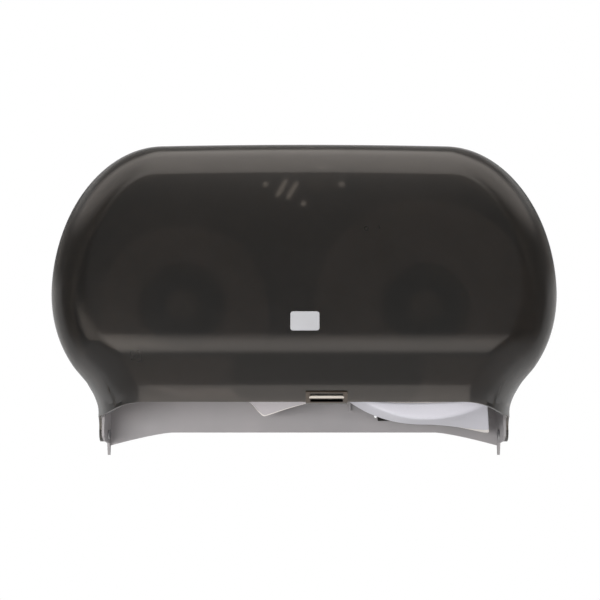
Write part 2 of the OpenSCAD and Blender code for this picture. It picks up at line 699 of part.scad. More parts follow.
module track_outline() {
    bead_room = bead + 2 * track_gap;
    panel_room = panel_d[1] - panel_d[0] + 2 * track_gap;
    difference() {
        translate([-panel_mid_d - rail / 2, track_z - rail / 2]) square(rail);
        translate([-panel_mid_d - bead_room / 2, track_z - bead_room / 2]) square(bead_room);
        translate([-panel_mid_d - panel_room / 2, track_z - rail]) square([panel_room, rail]);
    }
}

module shutter_track() {
    top = track_z + 3;
    color("dimgray") {
        translate([-track_half, 0, 0]) rotate([90, 0, 90]) linear_extrude(2 * track_half) track_outline();
        for (x = post_xs)
            block(x - post_half, x + post_half, panel_mid_d + rail / 2 - 0.1,
                  front_at(top) - wall - glue_gap, track_z - 1, top);
    }
}

// Lower corners are cut off so that the panel clears the cover's round corners
module panel_outline() {
    polygon([[-shutter_half_w, track_z], [shutter_half_w, track_z],
             [shutter_half_w, panel_low_z + panel_corner], [shutter_half_w - panel_corner, panel_low_z],
             [-shutter_half_w + panel_corner, panel_low_z], [-shutter_half_w, panel_low_z + panel_corner]]);
}

module shutter_panel() {
    rib_half = 0.8;
    rib_h = 1.2;
    color(smoke) translate([shutter_x, 0, 0]) {
        translate([0, -panel_d[0], 0]) rotate([90, 0, 0])
            linear_extrude(panel_d[1] - panel_d[0]) panel_outline();
        block(-shutter_half_w, shutter_half_w, panel_mid_d - bead / 2, panel_mid_d + bead / 2,
              track_z - bead / 2, track_z + bead / 2);
        for (x = [-70 : 35 : 70])
            block(x - rib_half, x + rib_half, panel_d[1] - hair, panel_d[1] + rib_h, -86, -60);
    }
}

clip_gap = 0.4;
clip_t = 1.6;
clip_top_z = -89.2;
clip_window_w = 30;
grip_r = 1.3;
CLIP_STEPS = 5;
// Points of the cover's outer face from clip_top_z to the lip, set out by s
function clip_face(s) = [for (i = [0 : CLIP_STEPS])
    let (z = mix(clip_top_z, lip_z, i / CLIP_STEPS)) [-front_at(z) - s, z - s * 0.5]];
function backwards(list) = [for (i = [len(list) - 1 : -1 : 0]) list[i]];

module clip_outline() {
    lip_d = front_at(lip_z);
    foot_z = lip_z - clip_gap - clip_t;
    back = -panel_d[1];
    polygon(concat(clip_face(clip_gap + clip_t),
                   [[-lip_d + 2, foot_z], [back - 1, foot_z], [back, foot_z + 1], [back, clip_top_z],
                    [back - clip_t, clip_top_z], [back - clip_t, foot_z + clip_t],
                    [-lip_d + 1, foot_z + clip_t]],
                   backwards(clip_face(clip_gap))));
}

// A clip round the lip with a window in its face and a rounded grip bar across the window
module slider_clip() {
    grip_z = (clip_top_z + lip_z) / 2 - 0.6;
    color(bronze) {
        difference() {
            translate([shutter_x - clip_w / 2, 0, 0]) rotate([90, 0, 90])
                linear_extrude(clip_w) clip_outline();
            block(shutter_x - clip_window_w / 2, shutter_x + clip_window_w / 2,
                  front_at(lip_z) - 1, cover_d + 5, lip_z - 0.2, clip_top_z - clip_t);
        }
        translate([shutter_x - clip_window_w / 2 - 1, -front_at(grip_z) - clip_gap - grip_r, grip_z])
            along_x() cylinder(r = grip_r, h = clip_window_w + 2, $fn = 32);
    }
}

back_plate();
spindle(-roll_x);  // spindle_left
spindle(roll_x);  // spindle_right
spindle_screws();
retainer(-roll_x);  // retainer_left
retainer(roll_x);  // retainer_right
retainer_screws();
hinge_pin(-1);  // hinge_pin_left
hinge_pin(1);  // hinge_pin_right
latch_housing();
latch_screws();
stop_pad();
paper_tail(LEFT_TAIL);  // paper_tail_left
paper_tail(RIGHT_TAIL);  // paper_tail_right
front_cover();
badge_plate();
hinge_bush(-1);  // hinge_bush_left
hinge_bush(1);  // hinge_bush_right
strike_tab();
shutter_track();
shutter_panel();
slider_clip();
hub(-roll_x);  // hub_left
hub(roll_x);  // hub_right
bush(-roll_x);  // bush_left
bush(roll_x);  // bush_right
core(-roll_x);  // core_left
core(roll_x);  // core_right
paper_roll(-roll_x, used_roll_r);  // paper_roll_left
paper_roll(roll_x, full_roll_r);  // paper_roll_right
key_barrel();
latch_bolt();
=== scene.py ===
"""Dresses the twin jumbo toilet roll dispenser: fine meshes, finishes, lights and camera."""
import logging
import math
from dataclasses import dataclass, field
from enum import Enum

import bmesh
import bpy
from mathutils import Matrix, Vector


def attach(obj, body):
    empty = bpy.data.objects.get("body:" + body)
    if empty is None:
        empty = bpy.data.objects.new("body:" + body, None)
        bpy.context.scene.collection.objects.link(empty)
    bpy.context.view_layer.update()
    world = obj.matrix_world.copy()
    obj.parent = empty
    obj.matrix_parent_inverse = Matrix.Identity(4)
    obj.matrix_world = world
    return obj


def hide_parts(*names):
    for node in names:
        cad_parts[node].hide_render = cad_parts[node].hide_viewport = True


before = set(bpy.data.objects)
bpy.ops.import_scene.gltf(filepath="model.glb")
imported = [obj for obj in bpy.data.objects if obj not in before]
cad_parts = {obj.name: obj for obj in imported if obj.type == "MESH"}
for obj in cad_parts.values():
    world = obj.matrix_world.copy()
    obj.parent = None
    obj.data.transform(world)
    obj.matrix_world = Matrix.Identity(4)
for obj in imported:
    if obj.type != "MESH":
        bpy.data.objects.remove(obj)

log = logging.getLogger("dispenser")
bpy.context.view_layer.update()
MM = 0.001
# Points nearer than this are one, in metres
MERGE = 1e-7
# Edges that turn by less than this, in degrees, are shaded smooth
SMOOTH_BELOW = 24.0


# ---------------------------------------------------------------- small helpers

def linear(code: str) -> tuple[float, float, float, float]:
    """Turns an sRGB hex colour into linear light.

    Args:
        code: six hex digits, such as "9c989a".

    Returns:
        The colour as red, green, blue and an alpha of 1.
    """
    parts = [int(code[i:i + 2], 16) / 255 for i in (0, 2, 4)]
    red, green, blue = (c / 12.92 if c <= 0.04045 else ((c + 0.055) / 1.055) ** 2.4 for c in parts)
    return red, green, blue, 1.0


def add(tree: bpy.types.NodeTree, kind: str, inputs: dict | None = None, stops: list[tuple] | None = None,
        **settings) -> bpy.types.Node:
    """Adds a node with its settings and links.

    Args:
        tree: the node tree.
        kind: the node's type name.
        inputs: socket name or index to a value, or to the output socket that feeds it.
        stops: a colour ramp's (position, linear colour) pairs in order.
        settings: attributes of the node.

    Returns:
        The new node.
    """
    node = tree.nodes.new(kind)
    for key, value in settings.items():
        setattr(node, key, value)
    for key, value in (inputs or {}).items():
        if isinstance(value, bpy.types.NodeSocket):
            tree.links.new(value, node.inputs[key])
        else:
            node.inputs[key].default_value = value
    if stops:
        marks = node.color_ramp.elements
        for _ in range(len(stops) - len(marks)):
            marks.new(0.5)
        for mark, (position, colour) in zip(marks, stops):
            mark.position = position
            mark.color = colour
    return node


def new_object(name: str, data: bpy.types.ID) -> bpy.types.Object:
    """Makes an object at the origin and puts it in the scene.

    Args:
        name: the object's name.
        data: its mesh, lamp or camera.

    Returns:
        The object.
    """
    obj = bpy.data.objects.new(name, data)
    bpy.context.scene.collection.objects.link(obj)
    return obj


def close_up(mesh: bpy.types.Mesh) -> None:
    """Merges a mesh's doubles and turns its faces outwards.

    Args:
        mesh: the mesh, changed in place.
    """
    work = bmesh.new()
    work.from_mesh(mesh)
    bmesh.ops.remove_doubles(work, verts=work.verts, dist=MERGE)
    bmesh.ops.recalc_face_normals(work, faces=work.faces)
    work.to_mesh(mesh)
    work.free()


def mesh_object(name: str, verts: list, faces: list) -> bpy.types.Object:
    """Makes an object of a mesh given in metres, doubles merged and normals outwards.

    Args:
        name: the object's name.
        verts: points.
        faces: faces as point numbers.

    Returns:
        The object, at the origin.
    """
    mesh = bpy.data.meshes.new(name)
    mesh.from_pydata(verts, [], faces)
    close_up(mesh)
    return new_object(name, mesh)


def shown_mesh(obj: bpy.types.Object) -> bpy.types.Mesh:
    """Returns a plain mesh of an object as its modifiers leave it."""
    shown = obj.evaluated_get(bpy.context.evaluated_depsgraph_get())
    return bpy.data.meshes.new_from_object(shown)


def soften(mesh: bpy.types.Mesh, width: float, above: float, segments: int = 2) -> None:
    """Rounds a mesh's edges and shades it smooth between sharp ones.

    Args:
        mesh: the mesh, changed in place.
        width: bevel width in metres.
        above: smallest angle in degrees between two faces whose edge is rounded.
        segments: faces across each bevel.
    """
    work = bmesh.new()
    work.from_mesh(mesh)
    sharp = [e for e in work.edges if e.is_manifold and e.calc_face_angle(0.0) > math.radians(above)]
    bmesh.ops.bevel(work, geom=sharp, offset=width, segments=segments, profile=0.5,
                    affect="EDGES", clamp_overlap=True)
    bmesh.ops.remove_doubles(work, verts=work.verts, dist=MERGE)
    work.to_mesh(mesh)
    work.free()
    mesh.shade_smooth()
    mesh.set_sharp_from_angle(angle=math.radians(SMOOTH_BELOW))


def solid_from_tree(name: str, tree: bpy.types.NodeTree, values: dict) -> bpy.types.Object:
    """Runs a Geometry Nodes tree and keeps its result as a plain mesh.

    Args:
        name: the piece's name.
        tree: the tree, which needs no incoming geometry.
        values: input name to value.

    Returns:
        The finished object, at the origin, with no modifier.
    """
    host = new_object(name + "_host", bpy.data.meshes.new(name + "_host"))
    modifier = host.modifiers.new("build", "NODES")
    modifier.node_group = tree
    sockets = {item.name: item.identifier for item in tree.interface.items_tree if item.in_out == "INPUT"}
    for key, value in values.items():
        modifier[sockets[key]] = value
    obj = new_object(name, shown_mesh(host))
    host.modifiers.remove(modifier)
    bpy.data.objects.remove(host)
    return obj


# ---------------------------------------------------------------- finishes

def bare_material(name: str) -> tuple[bpy.types.Material, bpy.types.NodeTree, bpy.types.NodeSocket]:
    """Makes a material with no shader yet.

    Args:
        name: the material's name.

    Returns:
        The material, its node tree and the Object coordinates in it.
    """
    material = bpy.data.materials.new(name)
    material.use_nodes = True
    tree = material.node_tree
    tree.nodes.clear()
    return material, tree, add(tree, "ShaderNodeTexCoord").outputs["Object"]


class Slot(Enum):
    """Material slots of the record that the pieces take their finish from."""

    PLATE = "plate_grey"
    COVER = "smoke_cover"
    INNER = "smoke_inner"
    CLIP = "bronze_clip"
    HUB = "hub_grey"
    BUSH = "bush_ivory"
    TISSUE = "tissue"
    CARD = "card"
    BADGE = "badge"
    STEEL = "zinc_steel"
    RUBBER = "rubber"


@dataclass(frozen=True)
class MouldedPlastic:
    """An injection-moulded plastic: slight mottling, and a fine spark-eroded grain in the skin."""

    name: str
    colour: str
    mottle: str
    roughness: float = 0.5
    grain_mm: float = 0.6
    grain_depth_mm: float = 0.02
    ior: float = 1.52

    def build(self) -> bpy.types.Material:
        """Makes the material.

        Returns:
            The material.
        """
        material, tree, place = bare_material(self.name)
        # Flow of the melt shows as very wide, very faint clouds
        cloud = add(tree, "ShaderNodeTexNoise", {"Vector": place, "Scale": 28.0, "Detail": 3.0})
        colour = add(tree, "ShaderNodeValToRGB", {0: cloud.outputs["Fac"]},
                     stops=[(0.3, linear(self.mottle)), (0.7, linear(self.colour))])
        grain = add(tree, "ShaderNodeTexNoise", {
            "Vector": place, "Scale": 1.0 / (self.grain_mm * MM), "Detail": 2.0})
        gloss = add(tree, "ShaderNodeMapRange", {
            "Value": cloud.outputs["Fac"], "To Min": self.roughness * 0.92, "To Max": self.roughness * 1.08})
        bump = add(tree, "ShaderNodeBump", {
            "Height": grain.outputs["Fac"], "Strength": 0.35, "Distance": self.grain_depth_mm * MM})
        shader = add(tree, "ShaderNodeBsdfPrincipled", {
            "Base Color": colour.outputs["Color"], "Roughness": gloss.outputs["Result"],
            "Normal": bump.outputs["Normal"], "IOR": self.ior})
        add(tree, "ShaderNodeOutputMaterial", {"Surface": shader.outputs["BSDF"]})
        return material


@dataclass(frozen=True)
class SmokePlastic:
    """A see-through plastic tinted nearly black: glossy outside, with what is behind it faint and soft."""

    name: str
    tint: str = "57504a"
    deep: str = "4f4942"
    roughness: float = 0.16
    haze: float = 0.28
    ripple_mm: float = 1.4
    ripple_depth_mm: float = 0.006
    ior: float = 1.585

    def build(self) -> bpy.types.Material:
        """Makes the material.

        Returns:
            The material.
        """
        material, tree, place = bare_material(self.name)
        # The tint streaks a little where the melt flowed, and the polished skin keeps a faint ripple
        cloud = add(tree, "ShaderNodeTexNoise", {"Vector": place, "Scale": 22.0, "Detail": 3.0})
        colour = add(tree, "ShaderNodeValToRGB", {0: cloud.outputs["Fac"]},
                     stops=[(0.3, linear(self.deep)), (0.7, linear(self.tint))])
        ripple = add(tree, "ShaderNodeTexNoise", {
            "Vector": place, "Scale": 1.0 / (self.ripple_mm * MM), "Detail": 1.0})
        milky = add(tree, "ShaderNodeMapRange", {
            "Value": cloud.outputs["Fac"], "To Min": self.haze * 0.95, "To Max": self.haze * 1.05})
        bump = add(tree, "ShaderNodeBump", {
            "Height": ripple.outputs["Fac"], "Strength": 0.3, "Distance": self.ripple_depth_mm * MM})
        shader = add(tree, "ShaderNodeBsdfPrincipled", {
            "Base Color": colour.outputs["Color"], "Roughness": milky.outputs["Result"], "IOR": 1.1,
            "Transmission Weight": 1.0, "Coat Weight": 1.0, "Coat Roughness": self.roughness,
            "Coat IOR": self.ior, "Coat Normal": bump.outputs["Normal"]})
        add(tree, "ShaderNodeOutputMaterial", {"Surface": shader.outputs["BSDF"]})
        return material


@dataclass(frozen=True)
class Tissue:
    """Two-ply tissue: soft, matt, with a fine quilted emboss of small dots."""

    name: str
    colour: str = "f4f3f8"
    shade: str = "e4e2ea"
    dot_mm: float = 2.2
    dot_depth_mm: float = 0.12
    fibre_mm: float = 0.35
    fuzz_mm: float = 0.05
    # One layer, drawn as coarse as it needs to show: a real one is about 0.1 mm
    layer_mm: float = 0.9
    wound_about: tuple[float, float] | None = None

    def build(self) -> bpy.types.Material:
        """Makes the material; one wound on a roll shows its layers as rings about the roll's axis.

        Returns:
            The material.
        """
        material, tree, place = bare_material(self.name)
        fibre = add(tree, "ShaderNodeTexNoise", {
            "Vector": place, "Scale": 1.0 / (self.fibre_mm * MM), "Detail": 4.0, "Roughness": 0.7})
        dots = add(tree, "ShaderNodeTexVoronoi", {
            "Vector": place, "Scale": 1.0 / (self.dot_mm * MM), "Randomness": 0.0})
        relief = add(tree, "ShaderNodeValToRGB", {0: dots.outputs["Distance"]},
                     stops=[(0.18, linear("000000")), (0.5, linear("ffffff"))])
        if self.wound_about:
            layers = self.layers(tree, place)
            relief = add(tree, "ShaderNodeMix", {
                "Factor": 0.6, "A": relief.outputs["Color"], "B": layers}, data_type="RGBA")
            height = relief.outputs[2]
        else:
            height = relief.outputs["Color"]
        tone = add(tree, "ShaderNodeMapRange", {
            "Value": fibre.outputs["Fac"], "From Min": 0.3, "From Max": 0.7})
        colour = add(tree, "ShaderNodeValToRGB", {0: tone.outputs["Result"]},
                     stops=[(0.0, linear(self.shade)), (1.0, linear(self.colour))])
        fuzz = add(tree, "ShaderNodeBump", {
            "Height": fibre.outputs["Fac"], "Strength": 0.25, "Distance": self.fuzz_mm * MM})
        bump = add(tree, "ShaderNodeBump", {
            "Height": height, "Normal": fuzz.outputs["Normal"], "Strength": 0.45,
            "Distance": self.dot_depth_mm * MM})
        shader = add(tree, "ShaderNodeBsdfPrincipled", {
            "Base Color": colour.outputs["Color"], "Roughness": 0.95, "Normal": bump.outputs["Normal"],
            "IOR": 1.45, "Sheen Weight": 0.15, "Specular IOR Level": 0.25})
        add(tree, "ShaderNodeOutputMaterial", {"Surface": shader.outputs["BSDF"]})
        return material

    def layers(self, tree: bpy.types.NodeTree, place: bpy.types.NodeSocket) -> bpy.types.NodeSocket:
        """Adds rings a layer pair apart about the roll's axis.

        Args:
            tree: the node tree.
            place: the position socket.

        Returns:
            The rings' colour socket.
        """
        x, z = self.wound_about
        centre = add(tree, "ShaderNodeMapping", {
            "Vector": place, "Location": (-x * MM, 0.0, -z * MM), "Scale": (1.0, 0.0, 1.0)})
        # At scale 1 the wave texture turns 20 radians in a metre
        rings = add(tree, "ShaderNodeTexWave", {
            "Vector": centre.outputs["Vector"], "Scale": math.pi / (self.layer_mm * MM * 20.0),
            "Distortion": 0.6, "Detail": 1.0}, wave_type="RINGS", rings_direction="Y")
        return rings.outputs["Color"]


@dataclass(frozen=True)
class Cardboard:
    """Spiral-wound grey-brown chipboard of a roll's core."""

    name: str
    colour: str = "b59a76"
    fleck: str = "8f7858"
    fibre_mm: float = 0.8
    fuzz_mm: float = 0.05

    def build(self) -> bpy.types.Material:
        """Makes the material.

        Returns:
            The material.
        """
        material, tree, place = bare_material(self.name)
        fibre = add(tree, "ShaderNodeTexNoise", {
            "Vector": place, "Scale": 1.0 / (self.fibre_mm * MM), "Detail": 6.0})
        colour = add(tree, "ShaderNodeValToRGB", {0: fibre.outputs["Fac"]},
                     stops=[(0.35, linear(self.fleck)), (0.65, linear(self.colour))])
        bump = add(tree, "ShaderNodeBump", {
            "Height": fibre.outputs["Fac"], "Strength": 0.4, "Distance": self.fuzz_mm * MM})
        shader = add(tree, "ShaderNodeBsdfPrincipled", {
            "Base Color": colour.outputs["Color"], "Roughness": 0.9, "Normal": bump.outputs["Normal"]})
        add(tree, "ShaderNodeOutputMaterial", {"Surface": shader.outputs["BSDF"]})
        return material


@dataclass(frozen=True)
class PlatedSteel:
    """Turned, zinc-plated steel: a pale metal with fine turning marks and cloudy plating."""

    name: str
    colour: str = "c4c6c8"
    tint: str = "a9abad"
    roughness: float = 0.32
    mark_mm: float = 0.25

    def build(self) -> bpy.types.Material:
        """Makes the material.

        Returns:
            The material.
        """
        material, tree, place = bare_material(self.name)
        cloud = add(tree, "ShaderNodeTexNoise", {"Vector": place, "Scale": 180.0, "Detail": 3.0})
        colour = add(tree, "ShaderNodeValToRGB", {0: cloud.outputs["Fac"]},
                     stops=[(0.35, linear(self.tint)), (0.65, linear(self.colour))])
        marks = add(tree, "ShaderNodeTexNoise", {
            "Vector": place, "Scale": 1.0 / (self.mark_mm * MM), "Detail": 2.0})
        gloss = add(tree, "ShaderNodeMapRange", {
            "Value": marks.outputs["Fac"], "To Min": self.roughness * 0.8, "To Max": self.roughness * 1.2})
        shader = add(tree, "ShaderNodeBsdfPrincipled", {
            "Base Color": colour.outputs["Color"], "Metallic": 1.0, "Roughness": gloss.outputs["Result"]})
        add(tree, "ShaderNodeOutputMaterial", {"Surface": shader.outputs["BSDF"]})
        return material


# ---------------------------------------------------------------- the cover

@dataclass
class CoverShell:
    """The one-piece cover: rings set in from one outline, closed by a flat front that bends to a lip.

    Sizes are in millimetres and are those of the CAD cover, with finer steps. A name ends in _b for the half
    height of a quarter ellipse, in _w for the width of a rounding, and in _z for a height.
    """

    # The outline, seen from the front: crown, quarter ellipses, hollow waist and straight arm
    width: float = 498.0
    depth: float = 138.0
    crown_z: float = 161.8
    crown_drop: float = 1.6
    crown_x: float = 138.5
    belly_z: float = 12.0
    lower_b: float = 123.6
    waist_angle: float = math.radians(-41.8)
    arm_x: float = 209.4
    arm_end_z: float = -132.0
    lip_z: float = -98.5
    wall: float = 2.6
    # How far the outline is set in towards the front; the rounding starts early in the lower corners
    draft: float = 3.0
    round_from: float = 84.0
    top_round_w: float = 43.0
    side_round_w: float = 46.0
    corner_round_w: float = 62.0
    corner_from: float = 1.0
    corner_z: tuple[float, float] = (-106.0, -64.0)
    # The front, from the side: flat, then a bend, a sloping skirt and the curl of the lip
    bend_z: float = -36.0
    skirt_z: float = -57.0
    curl_z: float = -84.0
    skirt_angle: float = math.radians(14.0)
    lip_angle: float = math.radians(50.0)
    # The depth from which the sides begin to follow the skirt's slope
    skirt_from: float = 30.0
    # The lower edge, from the side: the arm's round end, a fillet and a rise to the lip
    arm_mid: float = 14.0
    arm_half: float = 13.0
    fillet_end: float = 45.0
    side_edge_z: float = -108.4
    edge_rise_from: float = 90.0
    # Faces along each part of the outline and of the depth
    steps: tuple[int, ...] = (6, 12, 30, 44, 16)
    side_steps: tuple[int, ...] = (12, 8, 4)
    round_steps: int = 20
    # Holes: the hinge's depth and height, and the key hole's place across, depth and radius
    hinge: tuple[float, float] = (14.0, -125.0)
    hinge_hole_r: float = 5.0
    key_hole: tuple[float, float, float] = (20.0, 21.0, 7.5)
    # The drills' lengths, which reach well past the wall
    hinge_drill: float = 20.0
    key_drill: float = 16.0
    edge_round: float = 0.8

    def __post_init__(self) -> None:
        """Works out the derived sizes."""
        self.end_a = self.width / 2 - self.crown_x
        self.upper_b = self.crown_z - self.crown_drop - self.belly_z
        px = self.crown_x + self.end_a * math.cos(self.waist_angle)
        pz = self.belly_z + self.lower_b * math.sin(self.waist_angle)
        nx = self.unit(math.cos(self.waist_angle) / self.end_a, math.sin(self.waist_angle) / self.lower_b)[0]
        self.waist_turn = math.acos(nx)
        self.waist_r = (px - self.arm_x) / (1 - nx)
        self.arm_top = pz - self.waist_r * math.sin(self.waist_turn)
        self.bend_r = (self.bend_z - self.skirt_z) / math.sin(self.skirt_angle)
        self.bend_drop = self.bend_r * (1 - math.cos(self.skirt_angle))
        self.skirt_drop = (self.skirt_z - self.curl_z) * math.tan(self.skirt_angle)
        self.curl_r = (self.curl_z - self.lip_z) / (math.sin(self.lip_angle) - math.sin(self.skirt_angle))
        self.half = sum(self.steps)

    @staticmethod
    def unit(x: float, z: float) -> tuple[float, float]:
        """Returns the pair scaled to length one."""
        size = math.hypot(x, z)
        return x / size, z / size

    def front_at(self, z: float) -> float:
        """Returns the full depth of the front at a height."""
        if z > self.bend_z:
            return self.depth
        if z > self.skirt_z:
            return self.depth - (self.bend_r - math.sqrt(self.bend_r ** 2 - (self.bend_z - z) ** 2))
        if z > self.curl_z:
            return self.depth - self.bend_drop - (self.skirt_z - z) * math.tan(self.skirt_angle)
        reach = self.curl_r * math.sin(self.skirt_angle) + self.curl_z - max(z, self.lip_z)
        curl_in = self.curl_r * math.cos(self.skirt_angle) - math.sqrt(self.curl_r ** 2 - reach ** 2)
        return self.depth - self.bend_drop - self.skirt_drop - curl_in

    def lower_edge(self, d: float) -> float:
        """Returns the height of the cover's lower edge at a depth."""
        arm_front = self.arm_mid + self.arm_half
        if d <= arm_front:
            across = min(1.0, abs(d - self.arm_mid) / self.arm_half)
            return self.arm_end_z + self.arm_half * (1 - math.sqrt(1 - across ** 2))
        if d <= self.fillet_end:
            across = (self.fillet_end - d) / (self.fillet_end - arm_front)
            rise = self.side_edge_z - self.arm_end_z - self.arm_half
            return self.side_edge_z - rise * (1 - math.sqrt(max(0.0, 1 - across ** 2)))
        rise = max(0.0, (d - self.edge_rise_from) / (self.depth - self.edge_rise_from)) ** 1.5
        return self.side_edge_z + (self.lip_z - self.side_edge_z) * rise

    def outline(self, low_z: float, s: float) -> list[tuple[float, float, float, float]]:
        """Works out half the outline from the arm's end to the crown.

        Args:
            low_z: the height that the first point comes to once it is set in.
            s: how far it is set in.

        Returns:
            Each point's place across and height, and its outward normal's two parts.
        """
        points = []
        arm, waist, lower, upper, crown = self.steps
        start, count = 0.0, waist
        if low_z > self.arm_top:
            start, count = math.asin((low_z - self.arm_top) / (self.waist_r + s)), waist + arm
        else:
            points += [(self.arm_x, low_z + (self.arm_top - low_z) * i / arm, 1.0, 0.0) for i in range(arm)]
        for i in range(count):
            a = start + (self.waist_turn - start) * i / count
            points.append((self.arm_x + self.waist_r * (1 - math.cos(a)),
                           self.arm_top + self.waist_r * math.sin(a), math.cos(a), -math.sin(a)))
        for count, start, stop, b in ((lower, self.waist_angle, 0.0, self.lower_b),
                                      (upper, 0.0, math.pi / 2, self.upper_b)):
            for i in range(count):
                a = start + (stop - start) * i / count
                n = self.unit(math.cos(a) / self.end_a, math.sin(a) / b)
                points.append((self.crown_x + self.end_a * math.cos(a), self.belly_z + b * math.sin(a), *n))
        for i in range(crown + 1):
            x = self.crown_x * (1 - i / crown)
            n = self.unit(2 * self.crown_drop * x / self.crown_x ** 2, 1.0)
            points.append((x, self.crown_z - self.crown_drop * (x / self.crown_x) ** 2, *n))
        return points

    def ring_depths(self) -> list[float]:
        """Returns the outer depth of each ring."""
        marks = (1.0, self.arm_mid + self.arm_half, self.fillet_end, self.round_from)
        depths = []
        for part, (start, stop, count) in enumerate(zip(marks, marks[1:], self.side_steps)):
            for i in range(count):
                # Cosine spacing puts the rings where the arm's end and the fillet turn fastest
                share = (1 - math.cos(math.pi * i / count)) / 2 if part == 0 else (i / count) ** 2
                depths.append(start + (stop - start) * share)
        rounding = self.depth - self.round_from
        for i in range(self.round_steps + 1):
            depths.append(self.round_from + rounding * math.sin(math.pi / 2 * i / self.round_steps))
        return depths

    def inset(self, z: float, nz: float, d: float, inside: float) -> float:
        """Works out how far in the surface lies at a depth, measured across the outline.

        Args:
            z: height of the outline's point.
            nz: upward part of its normal.
            d: depth.
            inside: 0 for the outer skin, the wall's thickness for the inner one.

        Returns:
            The distance.
        """
        share = min(1.0, max(0.0, (z - self.corner_z[0]) / (self.corner_z[1] - self.corner_z[0])))
        share = share * share * (3 - 2 * share)
        upper_w = self.side_round_w + (self.top_round_w - self.side_round_w) * max(0.0, nz) ** 2
        width = self.corner_round_w + (upper_w - self.corner_round_w) * share
        start = self.corner_from + (self.round_from - self.corner_from) * share
        turn = min(1.0, max(0.0, (d - start) / (self.depth - inside - start)))
        return (inside + self.draft * share * min(1.0, d / start)
                + (width - inside) * (1 - math.sqrt(1 - turn * turn)))

    def ring(self, outer: float, inside: float) -> list[tuple[float, float, float]]:
        """Works out one ring of the shell.

        Args:
            outer: the ring's depth on the outer skin.
            inside: 0 for the outer skin, the wall's thickness for the inner one.

        Returns:
            Its points in metres, right arm to left arm.
        """
        d = outer
        if outer > self.round_from:
            d = self.round_from + (outer - self.round_from) * (
                self.depth - inside - self.round_from) / (self.depth - self.round_from)
        right = []
        low_z = self.lower_edge(outer)
        for x, z, nx, nz in self.outline(low_z, self.inset(low_z, 0.0, d, inside)):
            s = self.inset(z, nz, d, inside)
            px, pz = x - s * nx, z - s * nz
            share = min(1.0, max(0.0, (d - self.skirt_from) / (self.round_from - self.skirt_from)))
            ratio = 1 - (1 - self.front_at(pz) / self.depth) * share
            right.append((px * MM, -d * ratio * MM, pz * MM))
        return right + [(-x, y, z) for x, y, z in reversed(right[:-1])]

    def mesh(self, name: str) -> bpy.types.Object:
        """Builds the shell as one closed mesh.

        Args:
            name: the object's name.

        Returns:
            The object.
        """
        span, half = 2 * self.half, self.half
        depths = self.ring_depths()
        last = len(depths) - 1
        verts: list = []
        for inside in (0.0, self.wall):
            for d in depths:
                verts += self.ring(d, inside)

        def at(k: int, u: int, skin: int) -> int:
            """Returns the number of ring k's point u on the outer (0) or inner (1) skin."""
            return (skin * len(depths) + k) * (span + 1) + u

        faces: list = []
        for skin in (0, 1):
            for k in range(last):
                for u in range(span):
                    faces.append([at(k, u, skin), at(k + 1, u, skin),
                                  at(k + 1, u + 1, skin), at(k, u + 1, skin)])
            # The flat front is closed by strips from side to side
            for i in range(half - 1):
                faces.append([at(last, u, skin) for u in (i, span - i, span - i - 1, i + 1)])
            faces.append([at(last, u, skin) for u in (half - 1, half + 1, half)])
        for u in range(span):
            faces.append([at(0, u, 0), at(0, u + 1, 0), at(0, u + 1, 1), at(0, u, 1)])
        for k in range(last):
            for u in (0, span):
                faces.append([at(k, u, 0), at(k + 1, u, 0), at(k + 1, u, 1), at(k, u, 1)])
        faces.append([at(last, span, 0), at(last, 0, 0), at(last, 0, 1), at(last, span, 1)])
        return mesh_object(name, verts, faces)

    def cutters(self) -> bpy.types.Object:
        """Makes the drills for the two hinge holes and the key hole, as one object."""
        work = bmesh.new()

        def drill(radius: float, length: float, segments: int) -> list:
            """Adds an upright drill at the origin and returns its points."""
            return bmesh.ops.create_cone(work, cap_ends=True, segments=segments, radius1=radius * MM,
                                         radius2=radius * MM, depth=length * MM)["verts"]

        d, z = self.hinge
        for side in (-1, 1):
            for v in drill(self.hinge_hole_r, self.hinge_drill, 48):
                v.co = Vector((v.co.z + side * self.arm_x * MM, v.co.x - d * MM, v.co.y + z * MM))
        x, d, r = self.key_hole
        for v in drill(r, self.key_drill, 64):
            v.co += Vector((x * MM, -d * MM, self.crown_z * MM))
        bmesh.ops.recalc_face_normals(work, faces=work.faces)
        mesh = bpy.data.meshes.new("drills")
        work.to_mesh(mesh)
        work.free()
        return new_object("drills", mesh)

    def build(self, finish: bpy.types.Material) -> bpy.types.Object:
        """Builds, drills, rounds and dresses the cover.

        Args:
            finish: the cover's material.

        Returns:
            The cover, riding on its body.
        """
        raw = self.mesh("cover_raw")
        drills = self.cutters()
        cut = raw.modifiers.new("drill", "BOOLEAN")
        cut.operation = "DIFFERENCE"
        cut.solver = "EXACT"
        cut.object = drills
        mesh = shown_mesh(raw)
        bpy.data.objects.remove(raw)
        bpy.data.objects.remove(drills)
        soften(mesh, self.edge_round * MM, above=50.0, segments=3)
        mesh.materials.clear()
        mesh.materials.append(finish)
        cover = new_object("cover_shell", mesh)
        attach(cover, "cover")
        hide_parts("front_cover")
        return cover


# ---------------------------------------------------------------- turned and moulded pieces

